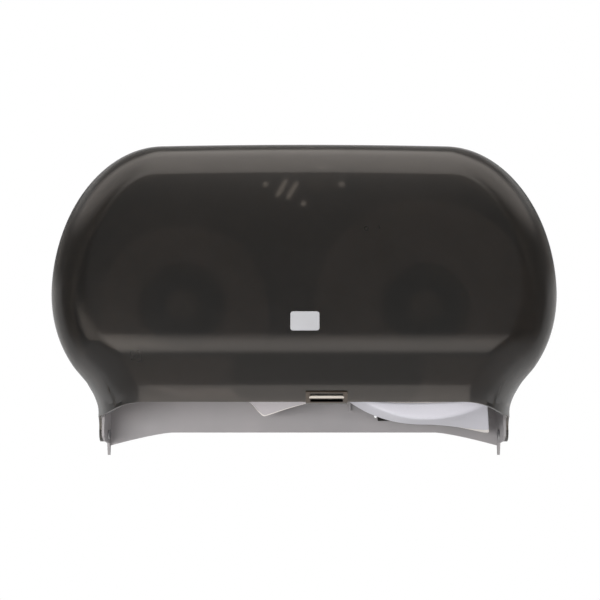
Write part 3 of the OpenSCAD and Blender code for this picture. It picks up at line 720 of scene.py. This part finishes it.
@dataclass
class MouldedPiece:
    """A CAD piece kept in shape, its edges rounded as a mould or a lathe leaves them."""

    node: str
    body: str
    slot: Slot
    edge_mm: float = 0.3
    above: float = 40.0
    # Points of the CAD node nearer than this, in metres, are one
    join_within: float = 1e-6
    # Neighbouring faces that turn by less than this, in degrees, are one
    flat_below: float = 0.5

    def build(self, finish: bpy.types.Material) -> bpy.types.Object:
        """Copies the node, joins its faces, rounds its edges and dresses it.

        Args:
            finish: the piece's material.

        Returns:
            The piece, standing for its node.
        """
        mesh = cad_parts[self.node].data.copy()
        work = bmesh.new()
        work.from_mesh(mesh)
        # The node is loose triangles: they are joined, and flat neighbours become one face
        bmesh.ops.remove_doubles(work, verts=work.verts, dist=self.join_within)
        bmesh.ops.dissolve_limit(work, angle_limit=math.radians(self.flat_below), verts=work.verts,
                                 edges=work.edges)
        work.to_mesh(mesh)
        work.free()
        soften(mesh, self.edge_mm * MM, self.above)
        mesh.materials.clear()
        mesh.materials.append(finish)
        piece = new_object(self.node + "_finished", mesh)
        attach(piece, self.body)
        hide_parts(self.node)
        return piece


@dataclass
class FingerClip(MouldedPiece):
    """The finger clip, whose grip bar carries a pale painted highlight as a finish of its own. Sizes are in
    millimetres.
    """

    middle_x: float = 20.5
    bar_z: float = -94.45
    bar_out: float = 1.7
    # A face belongs to the bar if its middle is nearer the bar's axis than this
    bar_reach: float = 1.326
    window: float = 30.0

    def build_pair(self, finish: bpy.types.Material, bar_painted_highlight: bpy.types.Material) -> None:
        """Builds the clip and gives the bar's faces a finish of their own, a pale colour painted for the
        highlight on the glossy bar.

        Args:
            finish: the clip's material.
            bar_painted_highlight: the bar's material.
        """
        clip = self.build(finish)
        clip.data.materials.append(bar_painted_highlight)
        axis_y = -CoverShell().front_at(self.bar_z) - self.bar_out
        # The grip bar's faces take the pale painted highlight
        for face in clip.data.polygons:
            at = face.center / MM
            on_bar = math.hypot(at.y - axis_y, at.z - self.bar_z) < self.bar_reach
            if on_bar and abs(at.x - self.middle_x) < self.window / 2:
                face.material_index = 1


FINGER_CLIP = FingerClip("slider_clip", "shutter", Slot.CLIP, 0.2, 30.0)
MOULDED = [
    MouldedPiece("back_plate", "root", Slot.PLATE, 0.4, 50.0),
    MouldedPiece("spindle_left", "root", Slot.HUB),
    MouldedPiece("spindle_right", "root", Slot.HUB),
    MouldedPiece("spindle_screws", "root", Slot.STEEL, 0.15),
    MouldedPiece("retainer_left", "root", Slot.HUB),
    MouldedPiece("retainer_right", "root", Slot.HUB),
    MouldedPiece("retainer_screws", "root", Slot.STEEL, 0.15),
    MouldedPiece("hinge_pin_left", "root", Slot.STEEL),
    MouldedPiece("hinge_pin_right", "root", Slot.STEEL),
    MouldedPiece("latch_housing", "root", Slot.HUB),
    MouldedPiece("latch_screws", "root", Slot.STEEL, 0.15),
    MouldedPiece("stop_pad", "root", Slot.RUBBER),
    MouldedPiece("badge_plate", "cover", Slot.BADGE, 0.2),
    MouldedPiece("hinge_bush_left", "cover", Slot.INNER, 0.2),
    MouldedPiece("hinge_bush_right", "cover", Slot.INNER, 0.2),
    MouldedPiece("strike_tab", "cover", Slot.INNER),
    MouldedPiece("shutter_track", "cover", Slot.INNER),
    MouldedPiece("shutter_panel", "shutter", Slot.INNER),
    MouldedPiece("hub_left", "roll_left", Slot.HUB),
    MouldedPiece("hub_right", "roll_right", Slot.HUB),
    MouldedPiece("bush_left", "roll_left", Slot.BUSH, 0.2),
    MouldedPiece("bush_right", "roll_right", Slot.BUSH, 0.2),
    MouldedPiece("core_left", "roll_left", Slot.CARD, 0.2),
    MouldedPiece("core_right", "roll_right", Slot.CARD, 0.2),
    MouldedPiece("key_barrel", "key_barrel", Slot.STEEL, 0.2),
    MouldedPiece("latch_bolt", "latch_bolt", Slot.STEEL, 0.2),
]


# ---------------------------------------------------------------- paper

@dataclass
class PaperRoll:
    """A wound jumbo roll: soft corners, and sides that step in and out a little where winding shifted.

    Sizes are in millimetres.
    """

    node: str
    body: str
    axis_x: float
    radius: float
    axis_z: float = -5.0
    hole_r: float = 42.6
    back: float = 17.0
    width: float = 83.0
    corner: float = 1.2
    shift: float = 0.25

    @staticmethod
    def tree() -> bpy.types.NodeTree:
        """Makes the tree that leads a rounded section round a circle and shifts its windings.

        Returns:
            The tree, with the roll's sizes as named inputs in metres.
        """
        tree = bpy.data.node_groups.new("wound_roll", "GeometryNodeTree")
        for name in ("Radius", "Hole", "Width", "Corner", "Shift"):
            tree.interface.new_socket(name, in_out="INPUT", socket_type="NodeSocketFloat")
        tree.interface.new_socket("Centre", in_out="INPUT", socket_type="NodeSocketVector")
        tree.interface.new_socket("Finish", in_out="INPUT", socket_type="NodeSocketMaterial")
        tree.interface.new_socket("Geometry", in_out="OUTPUT", socket_type="NodeSocketGeometry")
        size = add(tree, "NodeGroupInput").outputs
        sum_r = add(tree, "ShaderNodeMath", {0: size["Radius"], 1: size["Hole"]}, operation="ADD")
        mid_r = add(tree, "ShaderNodeMath", {0: sum_r.outputs[0], 1: 0.5}, operation="MULTIPLY")
        deep = add(tree, "ShaderNodeMath", {0: size["Radius"], 1: size["Hole"]}, operation="SUBTRACT")
        # 180 steps round and 280 points about the section make about 100,000 triangles
        path = add(tree, "GeometryNodeCurvePrimitiveCircle", {"Resolution": 180, "Radius": mid_r.outputs[0]})
        section = add(tree, "GeometryNodeCurvePrimitiveQuadrilateral", {
            "Width": deep.outputs[0], "Height": size["Width"]})
        rounded = add(tree, "GeometryNodeFilletCurve", {
            "Curve": section.outputs[0], "Count": 6, "Radius": size["Corner"]}, mode="POLY")
        fine = add(tree, "GeometryNodeSubdivideCurve", {"Curve": rounded.outputs[0], "Cuts": 9})
        swept = add(tree, "GeometryNodeCurveToMesh", {
            "Curve": path.outputs[0], "Profile Curve": fine.outputs[0]})
        # Each winding sits a little nearer or farther than the last, so both sides step with the radius
        place = add(tree, "GeometryNodeInputPosition")
        axes = add(tree, "ShaderNodeSeparateXYZ", {0: place.outputs[0]})
        flat = add(tree, "ShaderNodeCombineXYZ", {0: axes.outputs[0], 1: axes.outputs[1]})
        radius = add(tree, "ShaderNodeVectorMath", {0: flat.outputs[0]}, operation="LENGTH")
        steps = add(tree, "ShaderNodeTexNoise", {
            "W": radius.outputs["Value"], "Scale": 260.0, "Detail": 2.0}, noise_dimensions="1D")
        side = add(tree, "ShaderNodeMath", {0: axes.outputs[2]}, operation="SIGN")
        outward = add(tree, "ShaderNodeMath", {0: side.outputs[0], 1: size["Shift"]}, operation="MULTIPLY")
        amount = add(tree, "ShaderNodeMath", {
            0: outward.outputs[0], 1: steps.outputs[0]}, operation="MULTIPLY")
        inward = add(tree, "ShaderNodeMath", {0: amount.outputs[0], 1: -1.0}, operation="MULTIPLY")
        offset = add(tree, "ShaderNodeCombineXYZ", {2: inward.outputs[0]})
        shifted = add(tree, "GeometryNodeSetPosition", {
            "Geometry": swept.outputs[0], "Offset": offset.outputs[0]})
        turned = add(tree, "GeometryNodeTransform", {
            "Geometry": shifted.outputs[0], "Translation": size["Centre"],
            "Rotation": (math.pi / 2, 0.0, 0.0)})
        whole = add(tree, "GeometryNodeRealizeInstances", {0: turned.outputs[0]})
        dressed = add(tree, "GeometryNodeSetMaterial", {
            "Geometry": whole.outputs[0], "Material": size["Finish"]})
        add(tree, "NodeGroupOutput", {"Geometry": dressed.outputs[0]})
        return tree

    def build(self, tree: bpy.types.NodeTree, finish: bpy.types.Material) -> bpy.types.Object:
        """Builds and dresses the roll.

        Args:
            tree: the tree that winds it.
            finish: the tissue.

        Returns:
            The roll, riding on its hub's body.
        """
        centre = Vector((self.axis_x, -self.back - self.width / 2, self.axis_z)) * MM
        roll = solid_from_tree(self.node + "_wound", tree, {
            "Radius": self.radius * MM, "Hole": self.hole_r * MM, "Width": self.width * MM,
            "Corner": self.corner * MM, "Shift": self.shift * MM, "Centre": centre, "Finish": finish})
        close_up(roll.data)
        roll.data.shade_smooth()
        roll.data.set_sharp_from_angle(angle=math.radians(50.0))
        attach(roll, self.body)
        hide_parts(self.node)
        return roll


def spline(points: list[Vector], share: float) -> Vector:
    """Returns the point of a Catmull-Rom curve through some points.

    Args:
        points: the points it passes through.
        share: 0 at the first, 1 at the last.

    Returns:
        The point.
    """
    place = share * (len(points) - 1)
    i = min(int(place), len(points) - 2)
    t = place - i
    a, b, c, d = (points[max(0, min(len(points) - 1, i + k))] for k in (-1, 0, 1, 2))
    square, cube = 2 * a - 5 * b + 4 * c - d, 3 * b - a - 3 * c + d
    return 0.5 * (2 * b + (c - a) * t + square * t * t + cube * t ** 3)


@dataclass
class PaperTail:
    """A loose paper end: a sheet led through the edges listed, with a softly rounded torn end.

    Edges run from the roll to the torn end, the one nearest the wall first, as (x, depth, z).
    Lengths are in millimetres. Shares count from the roll along the sheet, or across it from the wall.
    """

    name: str
    node: str
    edges: list[list[tuple[float, float, float]]]
    thickness: float = 0.35
    lift: float = 0.0
    # Share of the width torn off at the back, and the share of the length from which it grows to that
    trim_back: float = 0.0
    trim_from: float = 0.55
    ripple: float = 0.5
    ripple_turns: tuple[float, float] = (9.0, 4.0)
    corner: float = 7.0
    # How far this ply ends short of the one behind it
    hem: float = 0.0
    paper_width: float = 90.0
    along: int = 110
    across: int = 48
    fold: float = 0.03

    def row(self, s: float, w: float) -> Vector:
        """Works out a point of the sheet before its torn end is rounded.

        Args:
            s: share of the length.
            w: share of the width.

        Returns:
            The point in millimetres.
        """
        stops = [spline(edge, s) for edge in self.lines]
        lengths = [(b - a).length for a, b in zip(stops, stops[1:])]
        place = w * sum(lengths)
        for a, b, size in zip(stops, stops[1:], lengths):
            if place <= size:
                return a.lerp(b, place / size)
            place -= size
        return stops[-1]

    def point(self, s: float, w: float) -> Vector:
        """Works out a point of the finished sheet.

        Args:
            s: share of the length.
            w: share of the width that is left.

        Returns:
            The point in millimetres.
        """
        w = self.trim(s) + w * (1 - self.trim(s))
        # Averaging over a short reach turns the crease at the roll's rim into a soft fold
        reach = min(self.fold, w, 1 - w)
        width = (self.row(s, 1.0) - self.row(s, 0.0)).length
        edge = min(w - self.trim(s), 1 - w) * width
        pull = self.corner - math.sqrt(self.corner ** 2 - max(0.0, self.corner - edge) ** 2)
        s_here = s * (1 - (pull + self.hem) / self.span)
        place = sum((self.row(s_here, w + reach * k) for k in (-1.0, -0.5, 0.0, 0.5, 1.0)), Vector()) / 5
        turns = self.ripple_turns[0] * s + self.ripple_turns[1] * w
        wave = self.ripple * math.sin(turns) * math.sin(math.pi * w) * s
        place.z += self.lift - wave
        return place

    def trim(self, s: float) -> float:
        """Returns the share of the width that the back edge is cut back by, growing to the torn end."""
        torn = max(0.0, (s - self.trim_from) / (1 - self.trim_from)) ** 1.2
        return self.trim_back * torn + self.hem / self.paper_width

    def __post_init__(self) -> None:
        """Works out the edges as vectors and the sheet's rough length."""
        self.lines = [[Vector((x, -d, z)) for x, d, z in edge] for edge in self.edges]
        self.span = sum((b - a).length for a, b in zip(self.lines[0], self.lines[0][1:]))

    def size(self) -> tuple[float, float]:
        """Returns the sheet's mean length and mean width in metres."""
        rows = [[self.point(i / 60, w) for i in range(61)] for w in (0.0, 0.5, 1.0)]
        length = sum(sum((b - a).length for a, b in zip(row, row[1:])) for row in rows) / 3
        cuts = [[self.point(s, j / 40) for j in range(41)] for s in (0.0, 0.25, 0.5, 0.75, 1.0)]
        width = sum(sum((b - a).length for a, b in zip(cut, cut[1:])) for cut in cuts) / 5
        return length * MM, width * MM

    def build(self, finish: bpy.types.Material) -> bpy.types.Object:
        """Builds, thickens and dresses the sheet.

        Args:
            finish: the tissue.

        Returns:
            The sheet, riding on the fixed body.
        """
        rows, cols = self.along + 1, self.across + 1
        verts = [self.point(i / self.along, j / self.across) * MM
                 for i in range(rows) for j in range(cols)]
        faces = [(i * cols + j, (i + 1) * cols + j, (i + 1) * cols + j + 1, i * cols + j + 1)
                 for i in range(rows - 1) for j in range(cols - 1)]
        sheet = mesh_object(self.name, verts, faces)
        thick = sheet.modifiers.new("ply", "SOLIDIFY")
        thick.thickness = self.thickness * MM
        thick.offset = 0.0
        solid = shown_mesh(sheet)
        sheet.modifiers.remove(thick)
        sheet.data = solid
        solid.shade_smooth()
        solid.materials.clear()
        solid.materials.append(finish)
        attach(sheet, "root")
        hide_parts(self.node)
        self.size()
        return sheet


RIGHT_TAIL = [
    [(20.5, 20, -55), (31, 20, -73), (42.1, 20, -87.8), (56.4, 20, -97.8), (68.7, 20, -104.2),
     (85, 20, -110), (101.4, 20, -113.4), (117.8, 20, -114.8), (132.1, 20, -115.2),
     (146.5, 20, -116.6), (160.8, 20, -118.9), (175, 20, -121.9), (189.8, 20, -125)],
    [(20.5, 101, -55), (33, 101, -76), (49.6, 101, -92.5), (61, 101, -99.8), (71.5, 101, -104.6),
     (83.6, 101, -109.2), (95.8, 101, -112.2), (108, 101, -113.6), (120.2, 101, -113.8),
     (133.3, 101, -112.6), (146.6, 101, -109.8), (159.9, 101, -105.2), (173, 101, -99.2)],
    [(20.5, 102, -55), (33, 102, -76), (49.9, 102, -89.5), (61.1, 102.2, -94.8), (71.5, 102.4, -97),
     (83.6, 102.6, -98), (95.8, 102.8, -98.4), (108, 103.1, -98.4), (120.2, 103.8, -98.2),
     (133.3, 104.8, -97.8), (146.6, 105.4, -97), (159.9, 105.6, -95.4), (172, 104.5, -92.7)]]
LEFT_TAIL = [
    [(-118, 20, -86.5), (-101, 20, -86.4), (-84, 20, -86.5), (-68, 20, -87.6),
     (-55.4, 20, -93), (-42.6, 20, -107.8)],
    [(-118, 104, -86.5), (-94, 104, -84.4), (-69, 104, -84.8), (-43, 104, -87.6),
     (-17, 104, -91.8), (11, 104, -96.6)]]


# ---------------------------------------------------------------- studio

@dataclass
class Studio:
    """Camera, floor, lamps and surroundings. Lengths in metres, angles in degrees."""

    camera_at: tuple[float, float, float] = (-0.0045, -1.0, -0.158)
    pitch: float = 10.0
    yaw: float = -0.031
    focal_px: float = 948.0
    frame_px: float = 600.0
    sensor: float = 36.0
    floor_z: float = -0.9
    floor_r: float = 6.0
    lamps_aim: tuple[float, float, float] = (0.0, -0.06, 0.0)

    def camera(self) -> None:
        """Makes the camera at the reference angle and distance."""
        data = bpy.data.cameras.new("camera")
        data.sensor_width = self.sensor
        data.lens = self.focal_px / self.frame_px * self.sensor
        camera = new_object("camera", data)
        camera.location = self.camera_at
        camera.rotation_euler = (math.radians(90 + self.pitch), 0.0, math.radians(self.yaw))
        bpy.context.scene.camera = camera

    def floor(self) -> None:
        """Makes the pale floor, white to the camera as the backdrop is."""
        work = bmesh.new()
        bmesh.ops.create_circle(work, cap_ends=True, segments=96, radius=self.floor_r)
        mesh = bpy.data.meshes.new("floor")
        work.to_mesh(mesh)
        work.free()
        floor = new_object("floor", mesh)
        floor.location = (0.0, 0.0, self.floor_z)
        material = bpy.data.materials.new("white_painted_floor")
        material.use_nodes = True
        tree = material.node_tree
        tree.nodes.clear()
        path = add(tree, "ShaderNodeLightPath")
        seen = add(tree, "ShaderNodeMath", {
            0: path.outputs["Is Camera Ray"], 1: path.outputs["Is Transmission Ray"]}, operation="MAXIMUM")
        white = add(tree, "ShaderNodeEmission", {"Color": linear("ffffff"), "Strength": 1.0})
        paint = add(tree, "ShaderNodeBsdfDiffuse", {"Color": linear("d6d6d6")})
        mix = add(tree, "ShaderNodeMixShader", {0: seen.outputs[0], 1: paint.outputs[0], 2: white.outputs[0]})
        add(tree, "ShaderNodeOutputMaterial", {"Surface": mix.outputs[0]})
        mesh.materials.append(material)
        floor.visible_glossy = False

    def surroundings(self) -> None:
        """Makes the world: white behind the object, and for reflections a soft studio by height."""
        world = bpy.data.worlds.new("studio")
        bpy.context.scene.world = world
        world.use_nodes = True
        tree = world.node_tree
        tree.nodes.clear()
        path = add(tree, "ShaderNodeLightPath")
        direction = add(tree, "ShaderNodeTexCoord").outputs["Generated"]
        axes = add(tree, "ShaderNodeSeparateXYZ", {0: direction})
        height = add(tree, "ShaderNodeMapRange", {
            "Value": axes.outputs["Z"], "From Min": -1.0, "From Max": 1.0}).outputs["Result"]

        def dark(degrees: float, value: float) -> tuple:
            """Returns a ramp's stop: the unlit room at an elevation."""
            return (math.sin(math.radians(degrees)) + 1) / 2, (value, value, value, 1.0)

        def lit(degrees: float, value: float) -> tuple:
            """Returns a ramp's stop: a lit panel, a little warmer than the room between the panels."""
            return dark(degrees, value)[0], (1.04 * value, 0.97 * value, 0.91 * value, 1.0)

        ahead = add(tree, "ShaderNodeValToRGB", {0: height}, stops=[
            lit(-90, 1.5), lit(-31, 1.5), dark(-24, 0.34), dark(-20, 0.32), lit(-17, 1.65), lit(-5, 1.45),
            dark(3, 0.34), dark(12, 0.26), dark(19.5, 0.2), lit(24, 1.75), lit(90, 1.75)])
        behind = add(tree, "ShaderNodeValToRGB", {0: height}, stops=[
            dark(-90, 0.9), dark(-10, 0.42), dark(9, 0.46), dark(14, 0.14), dark(25, 0.14), dark(32, 0.4),
            dark(38, 0.4), dark(46, 0.2), dark(66, 0.2), lit(75, 1.6)])
        flank = add(tree, "ShaderNodeValToRGB", {0: height}, stops=[
            dark(-90, 0.6), dark(-32, 0.5), dark(-12, 0.16), dark(24, 0.16), lit(34, 1.1), lit(50, 1.4),
            lit(78, 1.75)])
        # The panels in front are only as wide as the object; past their ends the room is dark
        wide = add(tree, "ShaderNodeMath", {0: axes.outputs["X"]}, operation="ABSOLUTE")
        # The low panel, seen in the lower corners, is the shortest of them
        low = add(tree, "ShaderNodeMath", {0: axes.outputs["Z"], 1: 0.55}, operation="ADD")
        off = add(tree, "ShaderNodeMath", {0: low.outputs[0]}, operation="ABSOLUTE")
        longer = add(tree, "ShaderNodeMapRange", {
            "Value": off.outputs[0], "From Min": 0.1, "From Max": 0.4, "To Max": 0.06})
        reach = add(tree, "ShaderNodeMath", {
            0: wide.outputs[0], 1: longer.outputs["Result"]}, operation="SUBTRACT")
        past = add(tree, "ShaderNodeMapRange", {
            "Value": reach.outputs[0], "From Min": 0.17, "From Max": 0.34}, interpolation_type="SMOOTHSTEP")
        front = add(tree, "ShaderNodeMix", {
            "Factor": past.outputs["Result"], "A": ahead.outputs["Color"], "B": flank.outputs["Color"]},
            data_type="RGBA")
        back = add(tree, "ShaderNodeMapRange", {
            "Value": axes.outputs["Y"], "From Min": 0.0, "From Max": 0.25})
        glow = add(tree, "ShaderNodeMix", {
            "Factor": back.outputs["Result"], "A": front.outputs[2], "B": behind.outputs["Color"]},
            data_type="RGBA")
        # Matt surfaces get more light from in front than from the wall's side
        from_front = add(tree, "ShaderNodeMapRange", {
            "Value": axes.outputs["Y"], "From Min": 0.3, "From Max": -0.9, "To Min": 0.36, "To Max": 0.74})
        seen = add(tree, "ShaderNodeMath", {
            0: path.outputs["Is Camera Ray"], 1: path.outputs["Is Transmission Ray"]}, operation="MAXIMUM")
        soft = add(tree, "ShaderNodeBackground", {
            "Color": linear("ffffff"), "Strength": from_front.outputs["Result"]})
        shiny = add(tree, "ShaderNodeBackground", {"Color": glow.outputs[2], "Strength": 1.0})
        white = add(tree, "ShaderNodeBackground", {"Color": linear("ffffff"), "Strength": 1.0})
        rest = add(tree, "ShaderNodeMixShader", {
            0: path.outputs["Is Glossy Ray"], 1: soft.outputs[0], 2: shiny.outputs[0]})
        mix = add(tree, "ShaderNodeMixShader", {0: seen.outputs[0], 1: rest.outputs[0], 2: white.outputs[0]})
        add(tree, "ShaderNodeOutputWorld", {"Surface": mix.outputs[0]})

    def lamp(self, name: str, at: tuple[float, float, float], size: tuple[float, float],
             power: float) -> None:
        """Makes a soft lamp that looks at the object.

        Args:
            name: the lamp's name.
            at: its place.
            size: its width and height.
            power: watts.
        """
        data = bpy.data.lights.new(name, "AREA")
        data.shape = "RECTANGLE"
        data.size, data.size_y = size
        data.energy = power
        lamp = new_object(name, data)
        lamp.location = at
        lamp.rotation_euler = (Vector(self.lamps_aim) - Vector(at)).to_track_quat("-Z", "Y").to_euler()
        lamp.visible_glossy = False
        lamp.visible_camera = False

    def build(self) -> None:
        """Sets the whole studio up."""
        self.camera()
        self.floor()
        self.surroundings()
        self.lamp("overhead", (0.2, -0.9, 1.5), (1.8, 1.2), 14.0)
        self.lamp("low_left", (-0.85, -1.25, -0.2), (1.1, 0.5), 12.5)
        bpy.context.scene.view_settings.view_transform = "Standard"


# ---------------------------------------------------------------- all together

@dataclass
class Workshop:
    """Holds the finishes and makes every piece."""

    finishes: dict[Slot, bpy.types.Material] = field(default_factory=dict)

    def mix_finishes(self) -> None:
        """Makes the material of every slot once."""
        recipes = {
            # Gloss polycarbonate tinted smoke brown: dark, clear enough for bright spots to show through
            Slot.COVER: SmokePlastic("smoke_polycarbonate_gloss_moulded"),
            # Satin ABS in light grey with a spark-eroded grain that breaks up its shine
            Slot.PLATE: MouldedPlastic("light_grey_abs_spark_eroded", "aca8a9", "a5a2a3", 0.55, 0.5, 0.03),
            # Satin ABS nearly as dark as the cover, so that the track and its shutter hide behind it
            Slot.INNER: MouldedPlastic("smoke_abs_satin_moulded", "2b2724", "26221f", 0.4),
            # Gloss polycarbonate tinted bronze: small, sharp glints on a brown edge
            Slot.CLIP: MouldedPlastic("bronze_tinted_polycarbonate_gloss", "41362b", "382e25", 0.18, 1.2,
                                      0.006, 1.585),
            # Acetal: pale, waxy and a little soft in its shine
            Slot.HUB: MouldedPlastic("pale_grey_acetal_moulded", "cfcfcd", "c8c8c6", 0.42),
            # Unfilled nylon: the ivory of a plain bearing bush
            Slot.BUSH: MouldedPlastic("ivory_nylon_moulded", "e2dcc8", "dad4c0", 0.4),
            # ABS in silver grey with the finest grain, so it catches an even light
            Slot.BADGE: MouldedPlastic("silver_grey_abs_badge", "b9b9bc", "b2b2b5", 0.38, 0.4, 0.02),
            # Grey-brown chipboard: matt, with darker flecks of fibre
            Slot.CARD: Cardboard("spiral_wound_chipboard"),
            # Turned and zinc-plated: a pale, slightly cloudy metal
            Slot.STEEL: PlatedSteel("zinc_plated_turned_steel"),
            # Bleached tissue: a cool white, matt, pricked with small dots
            Slot.TISSUE: Tissue("two_ply_tissue_embossed", "eceaf1", "dddbe3"),
            # Black rubber: matt, with the dusty bloom of a moulded pad
            Slot.RUBBER: MouldedPlastic("black_rubber_moulded", "262524", "1f1e1d", 0.8, 0.8, 0.03),
        }
        self.finishes = {slot: recipe.build() for slot, recipe in recipes.items()}

    def build(self) -> None:
        """Makes every piece in order and reports each."""
        self.mix_finishes()
        cover = CoverShell().build(self.finishes[Slot.COVER])
        log.info("%s", cover.name)
        for piece in MOULDED:
            piece.build(self.finishes[piece.slot])
            log.info("%s", piece.node)
        # Painted highlight: the grip bar gets a pale colour for the light its glossy round face reflects, and
        # it is duller than the rest of the clip
        grip = MouldedPlastic("polycarbonate_grip_painted_highlight", "d6cec4", "ccc4ba", 0.3, 1.2, 0.006, 1.585)
        FINGER_CLIP.build_pair(self.finishes[Slot.CLIP], grip.build())
        log.info("%s", FINGER_CLIP.node)
        winding = PaperRoll.tree()
        for roll in (PaperRoll("paper_roll_left", "roll_left", -117.0, 81.0),
                     PaperRoll("paper_roll_right", "roll_right", 117.0, 107.0)):
            wound = Tissue("tissue_wound_" + roll.body, wound_about=(roll.axis_x, roll.axis_z)).build()
            roll.build(winding, wound)
            log.info("%s", roll.node)
        # Painted light: a single ply lets more light through than the two together, so its colour is painted
        # warmer and brighter for the light shining through it
        ply = Tissue("single_ply_tissue_painted_backlight", "fffaf6", "fbf3ee").build()
        # Painted shade: the left sheet's tissue is painted greyer and a little warmer than the bleached
        # tissue, for the shade it lies in
        shaded = Tissue("two_ply_tissue_painted_shade", "d2ccce", "c6c0c3").build()
        white = self.finishes[Slot.TISSUE]
        right, left = "paper_tail_right", "paper_tail_left"
        for tail, finish in ((PaperTail(right + "_outer_ply", right, RIGHT_TAIL, trim_back=0.13), white),
                             (PaperTail(right + "_inner_ply", right, RIGHT_TAIL, lift=0.9), ply),
                             (PaperTail(left + "_outer_ply", left, LEFT_TAIL, hem=2.2), shaded),
                             (PaperTail(left + "_inner_ply", left, LEFT_TAIL, lift=0.5), ply)):
            tail.build(finish)
            log.info("%s", tail.name)


def main() -> None:
    """Builds the pieces and the studio."""
    logging.basicConfig(level=logging.INFO, format="%(message)s")
    Studio().build()
    Workshop().build()


if __name__ == "__main__":
    main()
